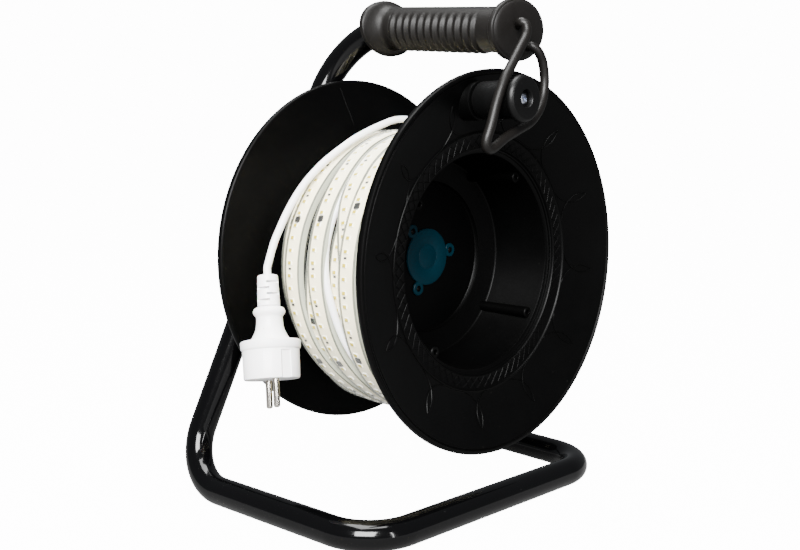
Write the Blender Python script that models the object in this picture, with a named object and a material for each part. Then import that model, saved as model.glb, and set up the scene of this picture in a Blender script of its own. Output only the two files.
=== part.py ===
"""LED work light reel: a two-half plastic drum with an LED strip wound on it, on a bent tube stand.

The drum's axis is the Y axis and its front faces -Y. Lengths are in metres. Sizes are measured
from the middle of the front flange's rim plane, and the finished reel is moved so that its
origin lies on the floor under the middle of its box.
"""
import math

import bmesh
import bpy
from mathutils import Matrix, Vector

# Clearances
SEAT_GAP = 0.0003
RUN_GAP = 0.0005

# Drum halves
FLANGE_R = 0.120
RIM_THICKNESS = 0.005
RIM_ROUND = 0.0012
RIM_BAND = 0.0035
DRUM_HALF_DEPTH = 0.0678
WALL = 0.0026
DISH_R = 0.0822
DISH_DEPTH = 0.0135
MOUTH_R = 0.0723
MOUTH_LIP = 0.0018
MOUTH_STEP = 0.0018
BARREL_MOUTH_R = 0.0688
BARREL_DRAFT = 0.0030
BARREL_OUTER_DRAFT = 0.0012
FLOOR_STEP_R = 0.0512
FLOOR_STEP_DEPTH = 0.0030
WEB_THICKNESS = 0.0018
HUB_SLEEVE_WALL = 0.0035
HUB_SLEEVE_LENGTH = 0.047
DRUM_SIDES = 48

# Screw channels inside the barrel
CHANNEL_COUNT = 4
CHANNEL_FIRST_DEG = 54.0
CHANNEL_R = 0.0036
CHANNEL_HOLE_R = 0.0016
CHANNEL_HOLE_DEPTH = 0.010
CHANNEL_START = 0.0025
CHANNEL_SUNK = 0.0006

# Cap over the hub, with three lugs
CAP_R = 0.0190
CAP_THICKNESS = 0.0014
LUG_COUNT = 3
LUG_FIRST_DEG = 8.0
LUG_HOLE_RADIUS_AT = 0.0225
LUG_R = 0.0046
LUG_HOLE_R = 0.0022
LUG_PEG_R = 0.0018

# Crank knob on the front flange
KNOB_INSET = 0.01753
KNOB_DEG = 103.83
BOSS_R = 0.0115
BOSS_FRONT = -0.0020
KNOB_GAP = 0.0010
KNOB_SHAFT_R = 0.0112
KNOB_HEAD_BACK = -0.0314
KNOB_FRONT = -0.0362
KNOB_HEAD_R = 0.0136
KNOB_FACE_R = 0.0122
KNOB_RECESS_R = 0.0050
KNOB_RECESS_DEPTH = 0.0042
SCREW_SHANK_R = 0.0022
SCREW_HEAD_R = 0.0037
SCREW_HEAD_HEIGHT = 0.0022
SCREW_GRIP_IN_BOSS = 0.0080

# Stand tube
TUBE_D = 0.0185
TUBE_WALL = 0.0015
TUBE_SIDES = 16
BEND_R = 0.034
BEND_STEPS = 6
TOP_BEND_R = 0.053
FOOT_DROP = 0.154
FOOT_FRONT_LEFT = (-0.1050, 0.0095)
FOOT_FRONT_RIGHT = (0.1125, 0.0045)
FOOT_REAR_LEFT = (-0.1185, 0.1830)
FOOT_REAR_RIGHT = (0.1165, 0.1780)
TOP_BEND_AT = (0.0, 0.1450, 0.1578)
AXLE_CLEARANCE_BEHIND = 0.004
AXLE_END_BEHIND_CAP = 0.0030

# Grip
GRIP_FRONT = (0.0, -0.0103, 0.1420)
GRIP_LENGTH = 0.129
GRIP_BODY_R = 0.0140
GRIP_END_R = 0.0184
GRIP_END_THICKNESS = 0.0042
GRIP_FILLET = 0.0075
GRIP_BLIND_END = 0.0140
GRIP_SIDES = 28
GRIP_BORE_GAP = 0.0006

# Retaining loop of round rubber rod, from one socket in the grip's face to the other
LOOP_D = 0.0058
LOOP_SOCKET_DEPTH = 0.0050
LOOP_SIDES = 8
LOOP_ROUTE = [
    (-0.0052, -0.0105, 0.1447), (-0.0056, -0.0142, 0.1444), (-0.0086, -0.0184, 0.1450),
    (-0.0077, -0.0215, 0.1429), (-0.0096, -0.0230, 0.1366), (-0.0183, -0.0250, 0.1278),
    (-0.0277, -0.0268, 0.1180), (-0.0350, -0.0280, 0.1098), (-0.0412, -0.0280, 0.0978),
    (-0.0462, -0.0280, 0.0844), (-0.0492, -0.0272, 0.0755), (-0.0476, -0.0266, 0.0714),
    (-0.0420, -0.0258, 0.0713), (-0.0291, -0.0243, 0.0773), (-0.0150, -0.0225, 0.0822),
    (-0.0011, -0.0205, 0.0870), (0.0090, -0.0190, 0.0942), (0.0153, -0.0175, 0.1029),
    (0.0171, -0.0170, 0.1132), (0.0147, -0.0172, 0.1233), (0.0104, -0.0168, 0.1297),
    (0.0074, -0.0142, 0.1327), (0.0070, -0.0105, 0.1331),
]
LOOP_STEPS = 3

# LED strip winding: loose turns that hang on the barrel, so their middle is below the axis
COIL_DROP = 0.0088
COIL_REAR_EDGE = 0.1045
COIL_LAYERS = 2
COIL_SLACK = 0.0007
STRIP_THICKNESS = 0.0063
STRIPS_ACROSS = 5
STRIP_GROOVE = 0.0012
COIL_SIDES = 48

# White supply lead
LEAD_D = 0.0046
LEAD_WOUND_TURNS = 2
LEAD_VALLEY_AT = 0.45
LEAD_SUNK = 0.0030
LEAD_RESOLUTION = 2
LEAD_STEP = 0.0115
LEAD_STRAIGHT = 0.0080
LEAD_ROUTE = [
    (0.0456, 0.0690, -0.0945), (0.0744, 0.0700, -0.0712), (0.0923, 0.0715, -0.0388),
    (0.0969, 0.0735, -0.0020), (0.0880, 0.0760, 0.0322), (0.0687, 0.0790, 0.0599),
    (0.0456, 0.0820, 0.0769), (0.0218, 0.0850, 0.0858), (0.0034, 0.0880, 0.0886),
    (-0.0194, 0.0890, 0.0875), (-0.0410, 0.0886, 0.0794), (-0.0545, 0.0902, 0.0716),
    (-0.0647, 0.0928, 0.0642), (-0.0729, 0.0948, 0.0568), (-0.0799, 0.0960, 0.0496),
    (-0.0858, 0.0968, 0.0423), (-0.0908, 0.0973, 0.0351), (-0.0953, 0.0976, 0.0279),
    (-0.0993, 0.0977, 0.0207), (-0.1031, 0.0976, 0.0136), (-0.1064, 0.0973, 0.0072),
]

# Plug, hanging with its pins down
PLUG_TOP = (-0.1105, 0.0950, -0.0057)
PLUG_LEAN = (-0.155, -0.254, -1.0)
RELIEF_LENGTH = 0.0191
RELIEF_TOP_R = 0.0064
RELIEF_R = 0.0068
PLUG_RING_R = 0.0098
PLUG_RING_LENGTH = 0.0060
PLUG_NECK_R = 0.0081
PLUG_NECK_LENGTH = 0.0065
PLUG_BELL_LENGTH = 0.0079
PLUG_BELL_R = 0.0120
PLUG_COLLAR_R = 0.0183
PLUG_COLLAR_LENGTH = 0.0062
PLUG_INSERT_R = 0.0172
PLUG_INSERT_LENGTH = 0.0177
PLUG_SIDES = 28
PIN_R = 0.0020
PIN_LENGTH = 0.0171
PIN_SPACING = 0.0190
PIN_SOCKET = 0.0060
PIN_LINE_DEG = -56.5
PIN_SIDES = 10

# Places that follow from the sizes above
AXIS_HEIGHT = FOOT_DROP + 0.5 * TUBE_D * math.cos(math.pi / TUBE_SIDES)
DRUM_DEPTH = 2.0 * DRUM_HALF_DEPTH
HUB_BORE_R = (0.5 * TUBE_D + SEAT_GAP) / math.cos(math.pi / DRUM_SIDES)
WEB_FRONT = DRUM_HALF_DEPTH - WEB_THICKNESS
BARREL_START = DISH_DEPTH + 0.0012 + MOUTH_LIP + MOUTH_STEP
BARREL_FLOOR_R = BARREL_MOUTH_R - BARREL_DRAFT
COIL_BORE_R = (BARREL_MOUTH_R + WALL + SEAT_GAP + COIL_DROP) / math.cos(math.pi / COIL_SIDES)
COIL_R = BARREL_MOUTH_R + WALL + SEAT_GAP + COIL_DROP + COIL_SLACK + COIL_LAYERS * STRIP_THICKNESS
KNOB_X = (FLANGE_R - KNOB_INSET) * math.cos(math.radians(KNOB_DEG))
KNOB_Z = (FLANGE_R - KNOB_INSET) * math.sin(math.radians(KNOB_DEG))
COIL_FRONT = BARREL_START + WALL
COIL_BACK = COIL_REAR_EDGE
GRIP_AXIS = (Vector(TOP_BEND_AT) - Vector(GRIP_FRONT)).normalized()


def clear_scene():
    """Remove whatever objects the scene starts with."""
    for item in list(bpy.data.objects):
        bpy.data.objects.remove(item, do_unlink=True)


def material(name, colour, roughness, metallic=0.0):
    """A Principled material with a plain colour."""
    made = bpy.data.materials.new(name)
    made.use_nodes = True
    shader = made.node_tree.nodes["Principled BSDF"]
    shader.inputs["Base Color"].default_value = (*colour, 1.0)
    shader.inputs["Roughness"].default_value = roughness
    shader.inputs["Metallic"].default_value = metallic
    made.diffuse_color = (*colour, 1.0)
    return made


def add_object(name, mesh_or_curve, finish, parent):
    """Link one named piece, with its own finish, under its parent."""
    made = bpy.data.objects.new(name, mesh_or_curve)
    bpy.context.scene.collection.objects.link(made)
    made.data.materials.append(finish)
    made.parent = parent
    return made


def bmesh_to_mesh(shape, name):
    """Turn an edit mesh into a mesh with its faces pointing out."""
    bmesh.ops.recalc_face_normals(shape, faces=shape.faces)
    mesh = bpy.data.meshes.new(name)
    shape.to_mesh(mesh)
    shape.free()
    mesh.shade_smooth()
    mesh.set_sharp_from_angle(angle=math.radians(35.0))
    return mesh


def turned(name, outline, sides, closed):
    """Turn an outline of (radius, along) about +Y; an open one ends on the axis at both ends."""
    shape = bmesh.new()
    rings = []
    for radius, along in outline:
        if radius < 1e-6:
            rings.append([shape.verts.new((0.0, along, 0.0))])
            continue
        ring = []
        for side in range(sides):
            angle = 2.0 * math.pi * side / sides
            ring.append(shape.verts.new((radius * math.cos(angle), along, radius * math.sin(angle))))
        rings.append(ring)
    pairs = list(zip(rings[:-1], rings[1:]))
    if closed:
        pairs.append((rings[-1], rings[0]))
    for first, second in pairs:
        for side in range(sides):
            after = (side + 1) % sides
            corners = [first[side % len(first)], first[after % len(first)]]
            corners += [second[after % len(second)], second[side % len(second)]]
            shape.faces.new(list(dict.fromkeys(corners)))
    return bmesh_to_mesh(shape, name)


def rounded_path(corners, radii, steps):
    """Points along straight runs joined by arcs of the given radii."""
    points = [Vector(corners[0])]
    for before, corner, after, radius in zip(corners[:-2], corners[1:-1], corners[2:], radii):
        corner = Vector(corner)
        back = (Vector(before) - corner).normalized()
        ahead = (Vector(after) - corner).normalized()
        half_angle = 0.5 * back.angle(ahead)
        centre = corner + (back + ahead).normalized() * (radius / math.sin(half_angle))
        start = corner + back * (radius / math.tan(half_angle)) - centre
        axis = back.cross(ahead)
        turn = math.pi - 2.0 * half_angle
        for step in range(steps + 1):
            swing = Matrix.Rotation(-turn * step / steps, 3, axis)
            points.append(centre + swing @ start)
    points.append(Vector(corners[-1]))
    return points


def smooth_route(route, steps):
    """Points of a Catmull-Rom curve through a route, with the given steps between its points."""
    places = [Vector(point) for point in route]
    places = [2.0 * places[0] - places[1]] + places + [2.0 * places[-1] - places[-2]]
    points = []
    for p0, p1, p2, p3 in zip(places, places[1:], places[2:], places[3:]):
        for step in range(steps):
            t = step / steps
            bend = (2.0 * p0 - 5.0 * p1 + 4.0 * p2 - p3) * t * t
            twist = (3.0 * p1 - p0 - 3.0 * p2 + p3) * t ** 3
            points.append(0.5 * (2.0 * p1 + (p2 - p0) * t + bend + twist))
    points.append(places[-2])
    return points


def even_route(points, spacing):
    """The same line with its points at an even spacing."""
    total = sum((b - a).length for a, b in zip(points, points[1:]))
    count = round(total / spacing)
    wanted = [total * index / count for index in range(1, count)]
    even = [points[0]]
    travelled = 0.0
    for first, second in zip(points, points[1:]):
        length = (second - first).length
        while wanted and wanted[0] <= travelled + length:
            even.append(first.lerp(second, (wanted.pop(0) - travelled) / length))
        travelled += length
    even.append(points[-1])
    return even


def carried_frames(points):
    """Tangent and carried side direction at each point, with no twist along the line."""
    tangents = []
    for index in range(len(points)):
        ahead = points[min(index + 1, len(points) - 1)] - points[index]
        behind = points[index] - points[max(index - 1, 0)]
        tangents.append((ahead.normalized() + behind.normalized()).normalized())
    side = tangents[0].orthogonal().normalized()
    sides = [side]
    for first, second in zip(tangents, tangents[1:]):
        side = first.rotation_difference(second) @ side
        side = (side - second * side.dot(second)).normalized()
        sides.append(side)
    return tangents, sides


def swept(name, points, radii, sides, flat_down_at=None):
    """A round bar, or a pipe where two radii are given, along the points.

    With flat_down_at, the bar's sides are turned so that one faces straight down at that point.
    """
    tangents, carried = carried_frames(points)
    offset = 0.0
    if flat_down_at is not None:
        tangent = tangents[flat_down_at]
        side = carried[flat_down_at]
        down = Vector((0.0, 0.0, -1.0))
        offset = math.atan2(down.dot(tangent.cross(side)), down.dot(side)) + math.pi / sides
    shape = bmesh.new()
    shells = []
    for radius in radii:
        shell = []
        for point, tangent, side in zip(points, tangents, carried):
            other = tangent.cross(side)
            ring = []
            for index in range(sides):
                angle = offset + 2.0 * math.pi * index / sides
                place = point + radius * (math.cos(angle) * side + math.sin(angle) * other)
                ring.append(shape.verts.new(place))
            shell.append(ring)
        for first, second in zip(shell, shell[1:]):
            join_rings(shape, first, second)
        shells.append(shell)
    for end in (0, -1):
        if len(shells) == 2:
            join_rings(shape, shells[0][end], shells[1][end])
        else:
            shape.faces.new(shells[0][end])
    return bmesh_to_mesh(shape, name)


def join_rings(shape, first, second):
    """Join two rings of points with a band of faces."""
    count = len(first)
    for index in range(count):
        after = (index + 1) % count
        shape.faces.new((first[index], first[after], second[after], second[index]))


def along_axis(start, direction):
    """A matrix that takes +Y at the origin to a line from start along direction."""
    turn = Vector((0.0, 1.0, 0.0)).rotation_difference(Vector(direction).normalized())
    return Matrix.Translation(Vector(start)) @ turn.to_matrix().to_4x4()


def cylinder_mesh(name, radius, start, end, sides):
    """A plain cylinder along Y, for a pin, a peg or a cutter."""
    return turned(name, [(0.0, start), (radius, start), (radius, end), (0.0, end)], sides, False)


def helper(name, mesh, parent, matrix=None):
    """A hidden object that a Boolean modifier adds or cuts with."""
    made = bpy.data.objects.new(name, mesh)
    bpy.context.scene.collection.objects.link(made)
    made.parent = parent
    if matrix is not None:
        made.matrix_local = matrix
    made.hide_render = True
    made.display_type = "WIRE"
    return made


def boolean(target, tool, operation):
    """Add or cut a helper, keeping the exact solver."""
    step = target.modifiers.new(tool.name, "BOOLEAN")
    step.operation = operation
    step.object = tool


def drum_half_outline(hub_sleeve):
    """Closed outline of one drum half, front at 0 and its web at the drum's middle."""
    back = DRUM_HALF_DEPTH - 0.5 * SEAT_GAP
    outline = [
        (FLANGE_R, RIM_ROUND),
        (FLANGE_R - RIM_ROUND, 0.0),
        (FLANGE_R - RIM_BAND, 0.0006),
        (DISH_R + 0.0012, DISH_DEPTH - 0.0004),
        (DISH_R, DISH_DEPTH + 0.0002),
        (MOUTH_R + 0.0016, DISH_DEPTH + 0.0006),
        (MOUTH_R, DISH_DEPTH + 0.0012),
        (MOUTH_R - 0.4 * MOUTH_LIP, DISH_DEPTH + 0.0012 + MOUTH_LIP),
        (BARREL_MOUTH_R, BARREL_START),
        (BARREL_FLOOR_R + 0.0004, WEB_FRONT - FLOOR_STEP_DEPTH - 0.0036),
        (BARREL_FLOOR_R - 0.0012, WEB_FRONT - FLOOR_STEP_DEPTH - 0.0026),
        (FLOOR_STEP_R, WEB_FRONT - FLOOR_STEP_DEPTH),
        (FLOOR_STEP_R - 0.0010, WEB_FRONT),
    ]
    if hub_sleeve:
        sleeve_front = WEB_FRONT - HUB_SLEEVE_LENGTH
        outline += [
            (HUB_BORE_R + HUB_SLEEVE_WALL, WEB_FRONT),
            (HUB_BORE_R + HUB_SLEEVE_WALL, sleeve_front),
            (HUB_BORE_R, sleeve_front),
        ]
    else:
        outline.append((HUB_BORE_R, WEB_FRONT))
    outline += [
        (HUB_BORE_R, back),
        (BARREL_MOUTH_R + WALL - BARREL_OUTER_DRAFT, back),
        (BARREL_MOUTH_R + WALL, BARREL_START),
        (DISH_R, DISH_DEPTH + WALL),
        (FLANGE_R - RIM_BAND - WALL, RIM_THICKNESS - 0.0006),
        (FLANGE_R - RIM_ROUND, RIM_THICKNESS),
        (FLANGE_R, RIM_THICKNESS - RIM_ROUND),
    ]
    return outline


def add_screw_channels(half, parent):
    """Four round channels along the inside of the barrel, each with a blind screw hole."""
    radius = BARREL_MOUTH_R - CHANNEL_R + CHANNEL_SUNK
    for index in range(CHANNEL_COUNT):
        angle = math.radians(CHANNEL_FIRST_DEG + 360.0 * index / CHANNEL_COUNT)
        place = Matrix.Translation((radius * math.cos(angle), 0.0, radius * math.sin(angle)))
        start = BARREL_START + CHANNEL_START
        rod = cylinder_mesh("channel", CHANNEL_R, start, WEB_FRONT + 0.0008, 10)
        boolean(half, helper(f"{half.name}_channel_{index}", rod, parent, place), "UNION")
        hole = cylinder_mesh("hole", CHANNEL_HOLE_R, start - 0.001, start + CHANNEL_HOLE_DEPTH, 8)
        boolean(half, helper(f"{half.name}_hole_{index}", hole, parent, place), "DIFFERENCE")


def dish_face(radius):
    """How far behind the rim the flange's dished face lies at a radius."""
    return DISH_DEPTH * (FLANGE_R - radius) / (FLANGE_R - DISH_R)


def add_knob_boss(half, parent):
    """A round boss for the crank knob, with a blind hole for its screw."""
    place = Matrix.Translation((KNOB_X, 0.0, KNOB_Z))
    boss = cylinder_mesh("boss", BOSS_R, BOSS_FRONT, RIM_THICKNESS, 24)
    for vertex in boss.vertices:
        if vertex.co.y > BOSS_FRONT + SEAT_GAP:
            radius = math.hypot(vertex.co.x + KNOB_X, vertex.co.z + KNOB_Z)
            vertex.co.y = dish_face(radius) + 0.5 * WALL
    boolean(half, helper("knob_boss", boss, parent, place), "UNION")
    end = BOSS_FRONT + SCREW_GRIP_IN_BOSS + SEAT_GAP
    hole = cylinder_mesh("hole", SCREW_SHANK_R + SEAT_GAP, BOSS_FRONT - 0.001, end, 12)
    boolean(half, helper("knob_boss_hole", hole, parent, place), "DIFFERENCE")


def lug_places():
    """Centres of the cap's lug holes in the plane across the axis."""
    places = []
    for index in range(LUG_COUNT):
        angle = math.radians(LUG_FIRST_DEG + 360.0 * index / LUG_COUNT)
        places.append((LUG_HOLE_RADIUS_AT * math.cos(angle), LUG_HOLE_RADIUS_AT * math.sin(angle)))
    return places


def add_lug_pegs(half, parent):
    """Moulded pegs on the web that hold the cap by its lugs."""
    cap_front = WEB_FRONT - SEAT_GAP - CAP_THICKNESS
    for index, (x, z) in enumerate(lug_places()):
        peg = cylinder_mesh("peg", LUG_PEG_R, cap_front + 0.0002, WEB_FRONT + 0.0008, 10)
        place = Matrix.Translation((x, 0.0, z))
        boolean(half, helper(f"lug_peg_{index}", peg, parent, place), "UNION")


def build_drum_half(name, finish, parent, hub_sleeve):
    """One moulded drum half: flange, dished face, barrel and web."""
    mesh = turned(name, drum_half_outline(hub_sleeve), DRUM_SIDES, True)
    half = add_object(name, mesh, finish, parent)
    add_screw_channels(half, parent)
    return half


def build_hub_cap(finish, parent):
    """Round cap with three lugs, which closes the hub's bore from the front."""
    back = WEB_FRONT - SEAT_GAP
    front = back - CAP_THICKNESS
    outline = [(0.0, front), (CAP_R - 0.0008, front), (CAP_R, front + 0.0004), (CAP_R, back), (0.0, back)]
    cap = add_object("hub_cap", turned("hub_cap", outline, 30, False), finish, parent)
    for index, (x, z) in enumerate(lug_places()):
        place = Matrix.Translation((x, 0.0, z))
        lug = cylinder_mesh("lug", LUG_R, front + 0.0001, back - 0.0001, 14)
        boolean(cap, helper(f"lug_{index}", lug, parent, place), "UNION")
        hole = cylinder_mesh("lug_hole", LUG_HOLE_R, front - 0.001, back + 0.001, 10)
        boolean(cap, helper(f"lug_hole_{index}", hole, parent, place), "DIFFERENCE")


def build_knob(finish, screw_finish, drum, knob_axis):
    """Crank knob, bored for its screw, and the screw that it turns on."""
    back = BOSS_FRONT - KNOB_GAP
    bore = SCREW_SHANK_R + RUN_GAP
    floor = KNOB_FRONT + KNOB_RECESS_DEPTH
    outline = [
        (bore, floor),
        (KNOB_RECESS_R, floor),
        (KNOB_RECESS_R, KNOB_FRONT + 0.0003),
        (KNOB_RECESS_R + 0.0004, KNOB_FRONT),
        (KNOB_FACE_R, KNOB_FRONT),
        (KNOB_HEAD_R, 0.3 * KNOB_FRONT + 0.7 * KNOB_HEAD_BACK),
        (KNOB_HEAD_R, KNOB_HEAD_BACK - 0.0006),
        (KNOB_HEAD_R - 0.0006, KNOB_HEAD_BACK),
        (KNOB_SHAFT_R, KNOB_HEAD_BACK),
        (KNOB_SHAFT_R, back - 0.0006),
        (KNOB_SHAFT_R - 0.0006, back),
        (bore, back),
    ]
    add_object("crank_knob", turned("crank_knob", outline, 28, True), finish, knob_axis)
    under_head = floor - SEAT_GAP
    end = BOSS_FRONT + SCREW_GRIP_IN_BOSS
    outline = [
        (0.0, under_head - SCREW_HEAD_HEIGHT),
        (0.7 * SCREW_HEAD_R, under_head - SCREW_HEAD_HEIGHT),
        (SCREW_HEAD_R, under_head - 0.4 * SCREW_HEAD_HEIGHT),
        (SCREW_HEAD_R, under_head),
        (SCREW_SHANK_R, under_head),
        (SCREW_SHANK_R, end),
        (0.0, end),
    ]
    screw = add_object("knob_screw", turned("knob_screw", outline, 14, False), screw_finish, drum)
    screw.location = (KNOB_X, 0.0, KNOB_Z)


def stand_corners():
    """Corners of the stand's centre line, from the grip round the foot to the axle's end."""
    floor = -FOOT_DROP
    grip_end = Vector(GRIP_FRONT) + GRIP_AXIS * (GRIP_BLIND_END + SEAT_GAP)
    axle_bend = DRUM_DEPTH + AXLE_CLEARANCE_BEHIND + BEND_R
    axle_end = WEB_FRONT + AXLE_END_BEHIND_CAP
    return [
        grip_end,
        TOP_BEND_AT,
        (*FOOT_REAR_LEFT, floor),
        (*FOOT_FRONT_LEFT, floor),
        (*FOOT_FRONT_RIGHT, floor),
        (*FOOT_REAR_RIGHT, floor),
        (0.0, axle_bend, 0.0),
        (0.0, axle_end, 0.0),
    ]


def stand_line():
    """Points along the stand tube's centre line."""
    return rounded_path(stand_corners(), [TOP_BEND_R] + [BEND_R] * 5, BEND_STEPS)


def build_stand(finish, parent):
    """One bent steel tube: grip end, left riser, foot, right riser and axle end."""
    points = stand_line()
    front_bar_start = 1 + 3 * (BEND_STEPS + 1)
    outer = 0.5 * TUBE_D
    mesh = swept("stand_tube", points, (outer, outer - TUBE_WALL), TUBE_SIDES, front_bar_start)
    add_object("stand_tube", mesh, finish, parent)


def grip_line(distance):
    """Where the grip's centre line is at a distance from its face: on the tube, bend and all."""
    points = [Vector(GRIP_FRONT)] + stand_line()
    for first, second in zip(points, points[1:]):
        length = (second - first).length
        if distance <= length:
            return first.lerp(second, distance / length), (second - first).normalized()
        distance -= length
    return points[-1], (points[-1] - points[-2]).normalized()


def bent_along_grip(mesh):
    """Bend a turned mesh, whose axis is +Y, to the grip's centre line."""
    for vertex in mesh.vertices:
        place, ahead = grip_line(vertex.co.y)
        up = Vector((1.0, 0.0, 0.0)).cross(ahead)
        vertex.co = place + Vector((vertex.co.x, 0.0, 0.0)) + up * vertex.co.z
    return mesh


def build_grip(finish, parent):
    """Rubber grip with a disc at each end, pushed over the tube's end and its bend's start."""
    bore = (0.5 * TUBE_D + GRIP_BORE_GAP) / math.cos(math.pi / GRIP_SIDES)
    fillet_end = GRIP_END_THICKNESS + GRIP_FILLET
    half = [
        (GRIP_END_R - 0.0030, 0.0),
        (GRIP_END_R - 0.0006, 0.0010),
        (GRIP_END_R, 0.0024),
        (GRIP_END_R - 0.0004, GRIP_END_THICKNESS),
        (0.45 * GRIP_END_R + 0.55 * GRIP_BODY_R, GRIP_END_THICKNESS + 0.25 * GRIP_FILLET),
        (GRIP_BODY_R + 0.0005, GRIP_END_THICKNESS + 0.6 * GRIP_FILLET),
        (GRIP_BODY_R, fillet_end),
    ]
    other = [(radius, GRIP_LENGTH - along) for radius, along in reversed(half)]
    bend_start = (Vector(TOP_BEND_AT) - Vector(GRIP_FRONT)).length - TOP_BEND_R
    outline = [(0.0, 0.0)] + half + [(GRIP_BODY_R, bend_start)] + other
    outline += [(bore, along) for along in (GRIP_LENGTH, GRIP_LENGTH - 0.010, bend_start)]
    outline += [(bore, GRIP_BLIND_END), (0.0, GRIP_BLIND_END)]
    mesh = bent_along_grip(turned("grip", outline, GRIP_SIDES, False))
    grip = add_object("grip", mesh, finish, parent)
    for index, end in enumerate((LOOP_ROUTE[0], LOOP_ROUTE[-1])):
        radius = 0.5 * LOOP_D + SEAT_GAP
        hole = cylinder_mesh("socket", radius / math.cos(math.pi / 12), -0.004, LOOP_SOCKET_DEPTH, 12)
        place = along_axis(end, GRIP_AXIS)
        boolean(grip, helper(f"loop_socket_{index}", hole, parent, place), "DIFFERENCE")


def build_loop(finish, parent):
    """Rubber retaining loop, hooked round the crank knob behind its head."""
    inward = GRIP_AXIS * (LOOP_SOCKET_DEPTH - SEAT_GAP)
    points = smooth_route(LOOP_ROUTE, LOOP_STEPS)
    points = [points[0] + inward] + points + [points[-1] + inward]
    mesh = swept("retaining_loop", points, (0.5 * LOOP_D,), LOOP_SIDES)
    add_object("retaining_loop", mesh, finish, parent)


def valley_span():
    """Front and back of the valley in the winding that the lead's turns lie in."""
    middle = COIL_FRONT + LEAD_VALLEY_AT * (COIL_BACK - COIL_FRONT)
    half = 0.5 * LEAD_WOUND_TURNS * LEAD_D + SEAT_GAP
    return middle - half, middle + half


def build_winding(finish, parent):
    """The wound LED strip as one turned ring, two layers deep, its turns as grooves."""
    valley_front, valley_back = valley_span()
    valley_r = COIL_R - LEAD_SUNK - LEAD_D - SEAT_GAP
    layer_r = COIL_R - STRIP_THICKNESS
    outline = [(COIL_BORE_R, COIL_FRONT), (layer_r - 0.0006, COIL_FRONT), (layer_r, COIL_FRONT + 0.0010)]
    outline.append((layer_r + 0.0006, COIL_FRONT))
    before = STRIPS_ACROSS // 2
    spans = [(COIL_FRONT, valley_front, before), (valley_back, COIL_BACK, STRIPS_ACROSS - before)]
    for start, end, count in spans:
        pitch = (end - start) / count
        for index in range(count):
            near = start + pitch * index
            outline.append((COIL_R - 0.0004, near + 0.0004))
            outline.append((COIL_R, near + 0.5 * pitch))
            outline.append((COIL_R - 0.0004, near + pitch - 0.0004))
            if index < count - 1:
                outline.append((COIL_R - STRIP_GROOVE, near + pitch))
        if end == valley_front:
            outline += [(valley_r, valley_front), (valley_r, valley_back)]
    outline.append((layer_r + 0.0006, COIL_BACK))
    outline += [(layer_r, COIL_BACK - 0.0010), (layer_r - 0.0006, COIL_BACK), (COIL_BORE_R, COIL_BACK)]
    mesh = turned("led_strip_coil", outline, COIL_SIDES, True)
    add_object("led_strip_coil", mesh, finish, parent)


def build_lead_turns(finish, parent):
    """The lead's wound turns in the winding's valley, as one turned ring."""
    valley_front, valley_back = valley_span()
    start = valley_front + SEAT_GAP
    top = COIL_R - LEAD_SUNK
    bottom = top - LEAD_D
    outline = [(bottom, start + 0.25 * LEAD_D)]
    for index in range(LEAD_WOUND_TURNS):
        near = start + LEAD_D * index
        outline.append((bottom + 0.5 * LEAD_D, near) if index == 0 else (bottom + 0.7 * LEAD_D, near))
        outline.append((top, near + 0.5 * LEAD_D))
    end = valley_back - SEAT_GAP
    outline += [(bottom + 0.5 * LEAD_D, end), (bottom, end - 0.25 * LEAD_D)]
    mesh = turned("lead_turns", outline, COIL_SIDES, True)
    add_object("lead_turns", mesh, finish, parent)


def plug_matrix():
    """Takes +Y at the origin to the plug's axis, from its strain relief's top down."""
    return along_axis(PLUG_TOP, PLUG_LEAN)


def lead_points():
    """The lead's line from the winding over its top and down into the strain relief."""
    down = Vector(PLUG_LEAN).normalized()
    end = Vector(PLUG_TOP) - down * SEAT_GAP
    straight = end - down * LEAD_STRAIGHT
    return even_route(smooth_route(LEAD_ROUTE + [straight], 8), LEAD_STEP) + [end]


def build_lead(finish, parent):
    """The stretch of lead that leaves the winding and hangs to the plug."""
    line = bpy.data.curves.new("lead", "CURVE")
    line.dimensions = "3D"
    line.bevel_depth = 0.5 * LEAD_D
    line.bevel_resolution = LEAD_RESOLUTION
    line.use_fill_caps = True
    spline = line.splines.new("POLY")
    points = lead_points()
    spline.points.add(len(points) - 1)
    for target, point in zip(spline.points, points):
        target.co = (*point, 1.0)
    add_object("lead", line, finish, parent)


def build_strain_relief(finish, parent):
    """Ribbed sleeve where the lead enters the plug."""
    step = RELIEF_LENGTH / 5.0
    outline = [(0.0, 0.0), (RELIEF_TOP_R - 0.0006, 0.0), (RELIEF_TOP_R, 0.0005)]
    outline += [(RELIEF_TOP_R, step), (RELIEF_R, 4.0 * step), (RELIEF_R, RELIEF_LENGTH), (0.0, RELIEF_LENGTH)]
    mesh = turned("strain_relief", outline, 16, False)
    add_object("strain_relief", mesh, finish, parent).matrix_local = plug_matrix()


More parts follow.
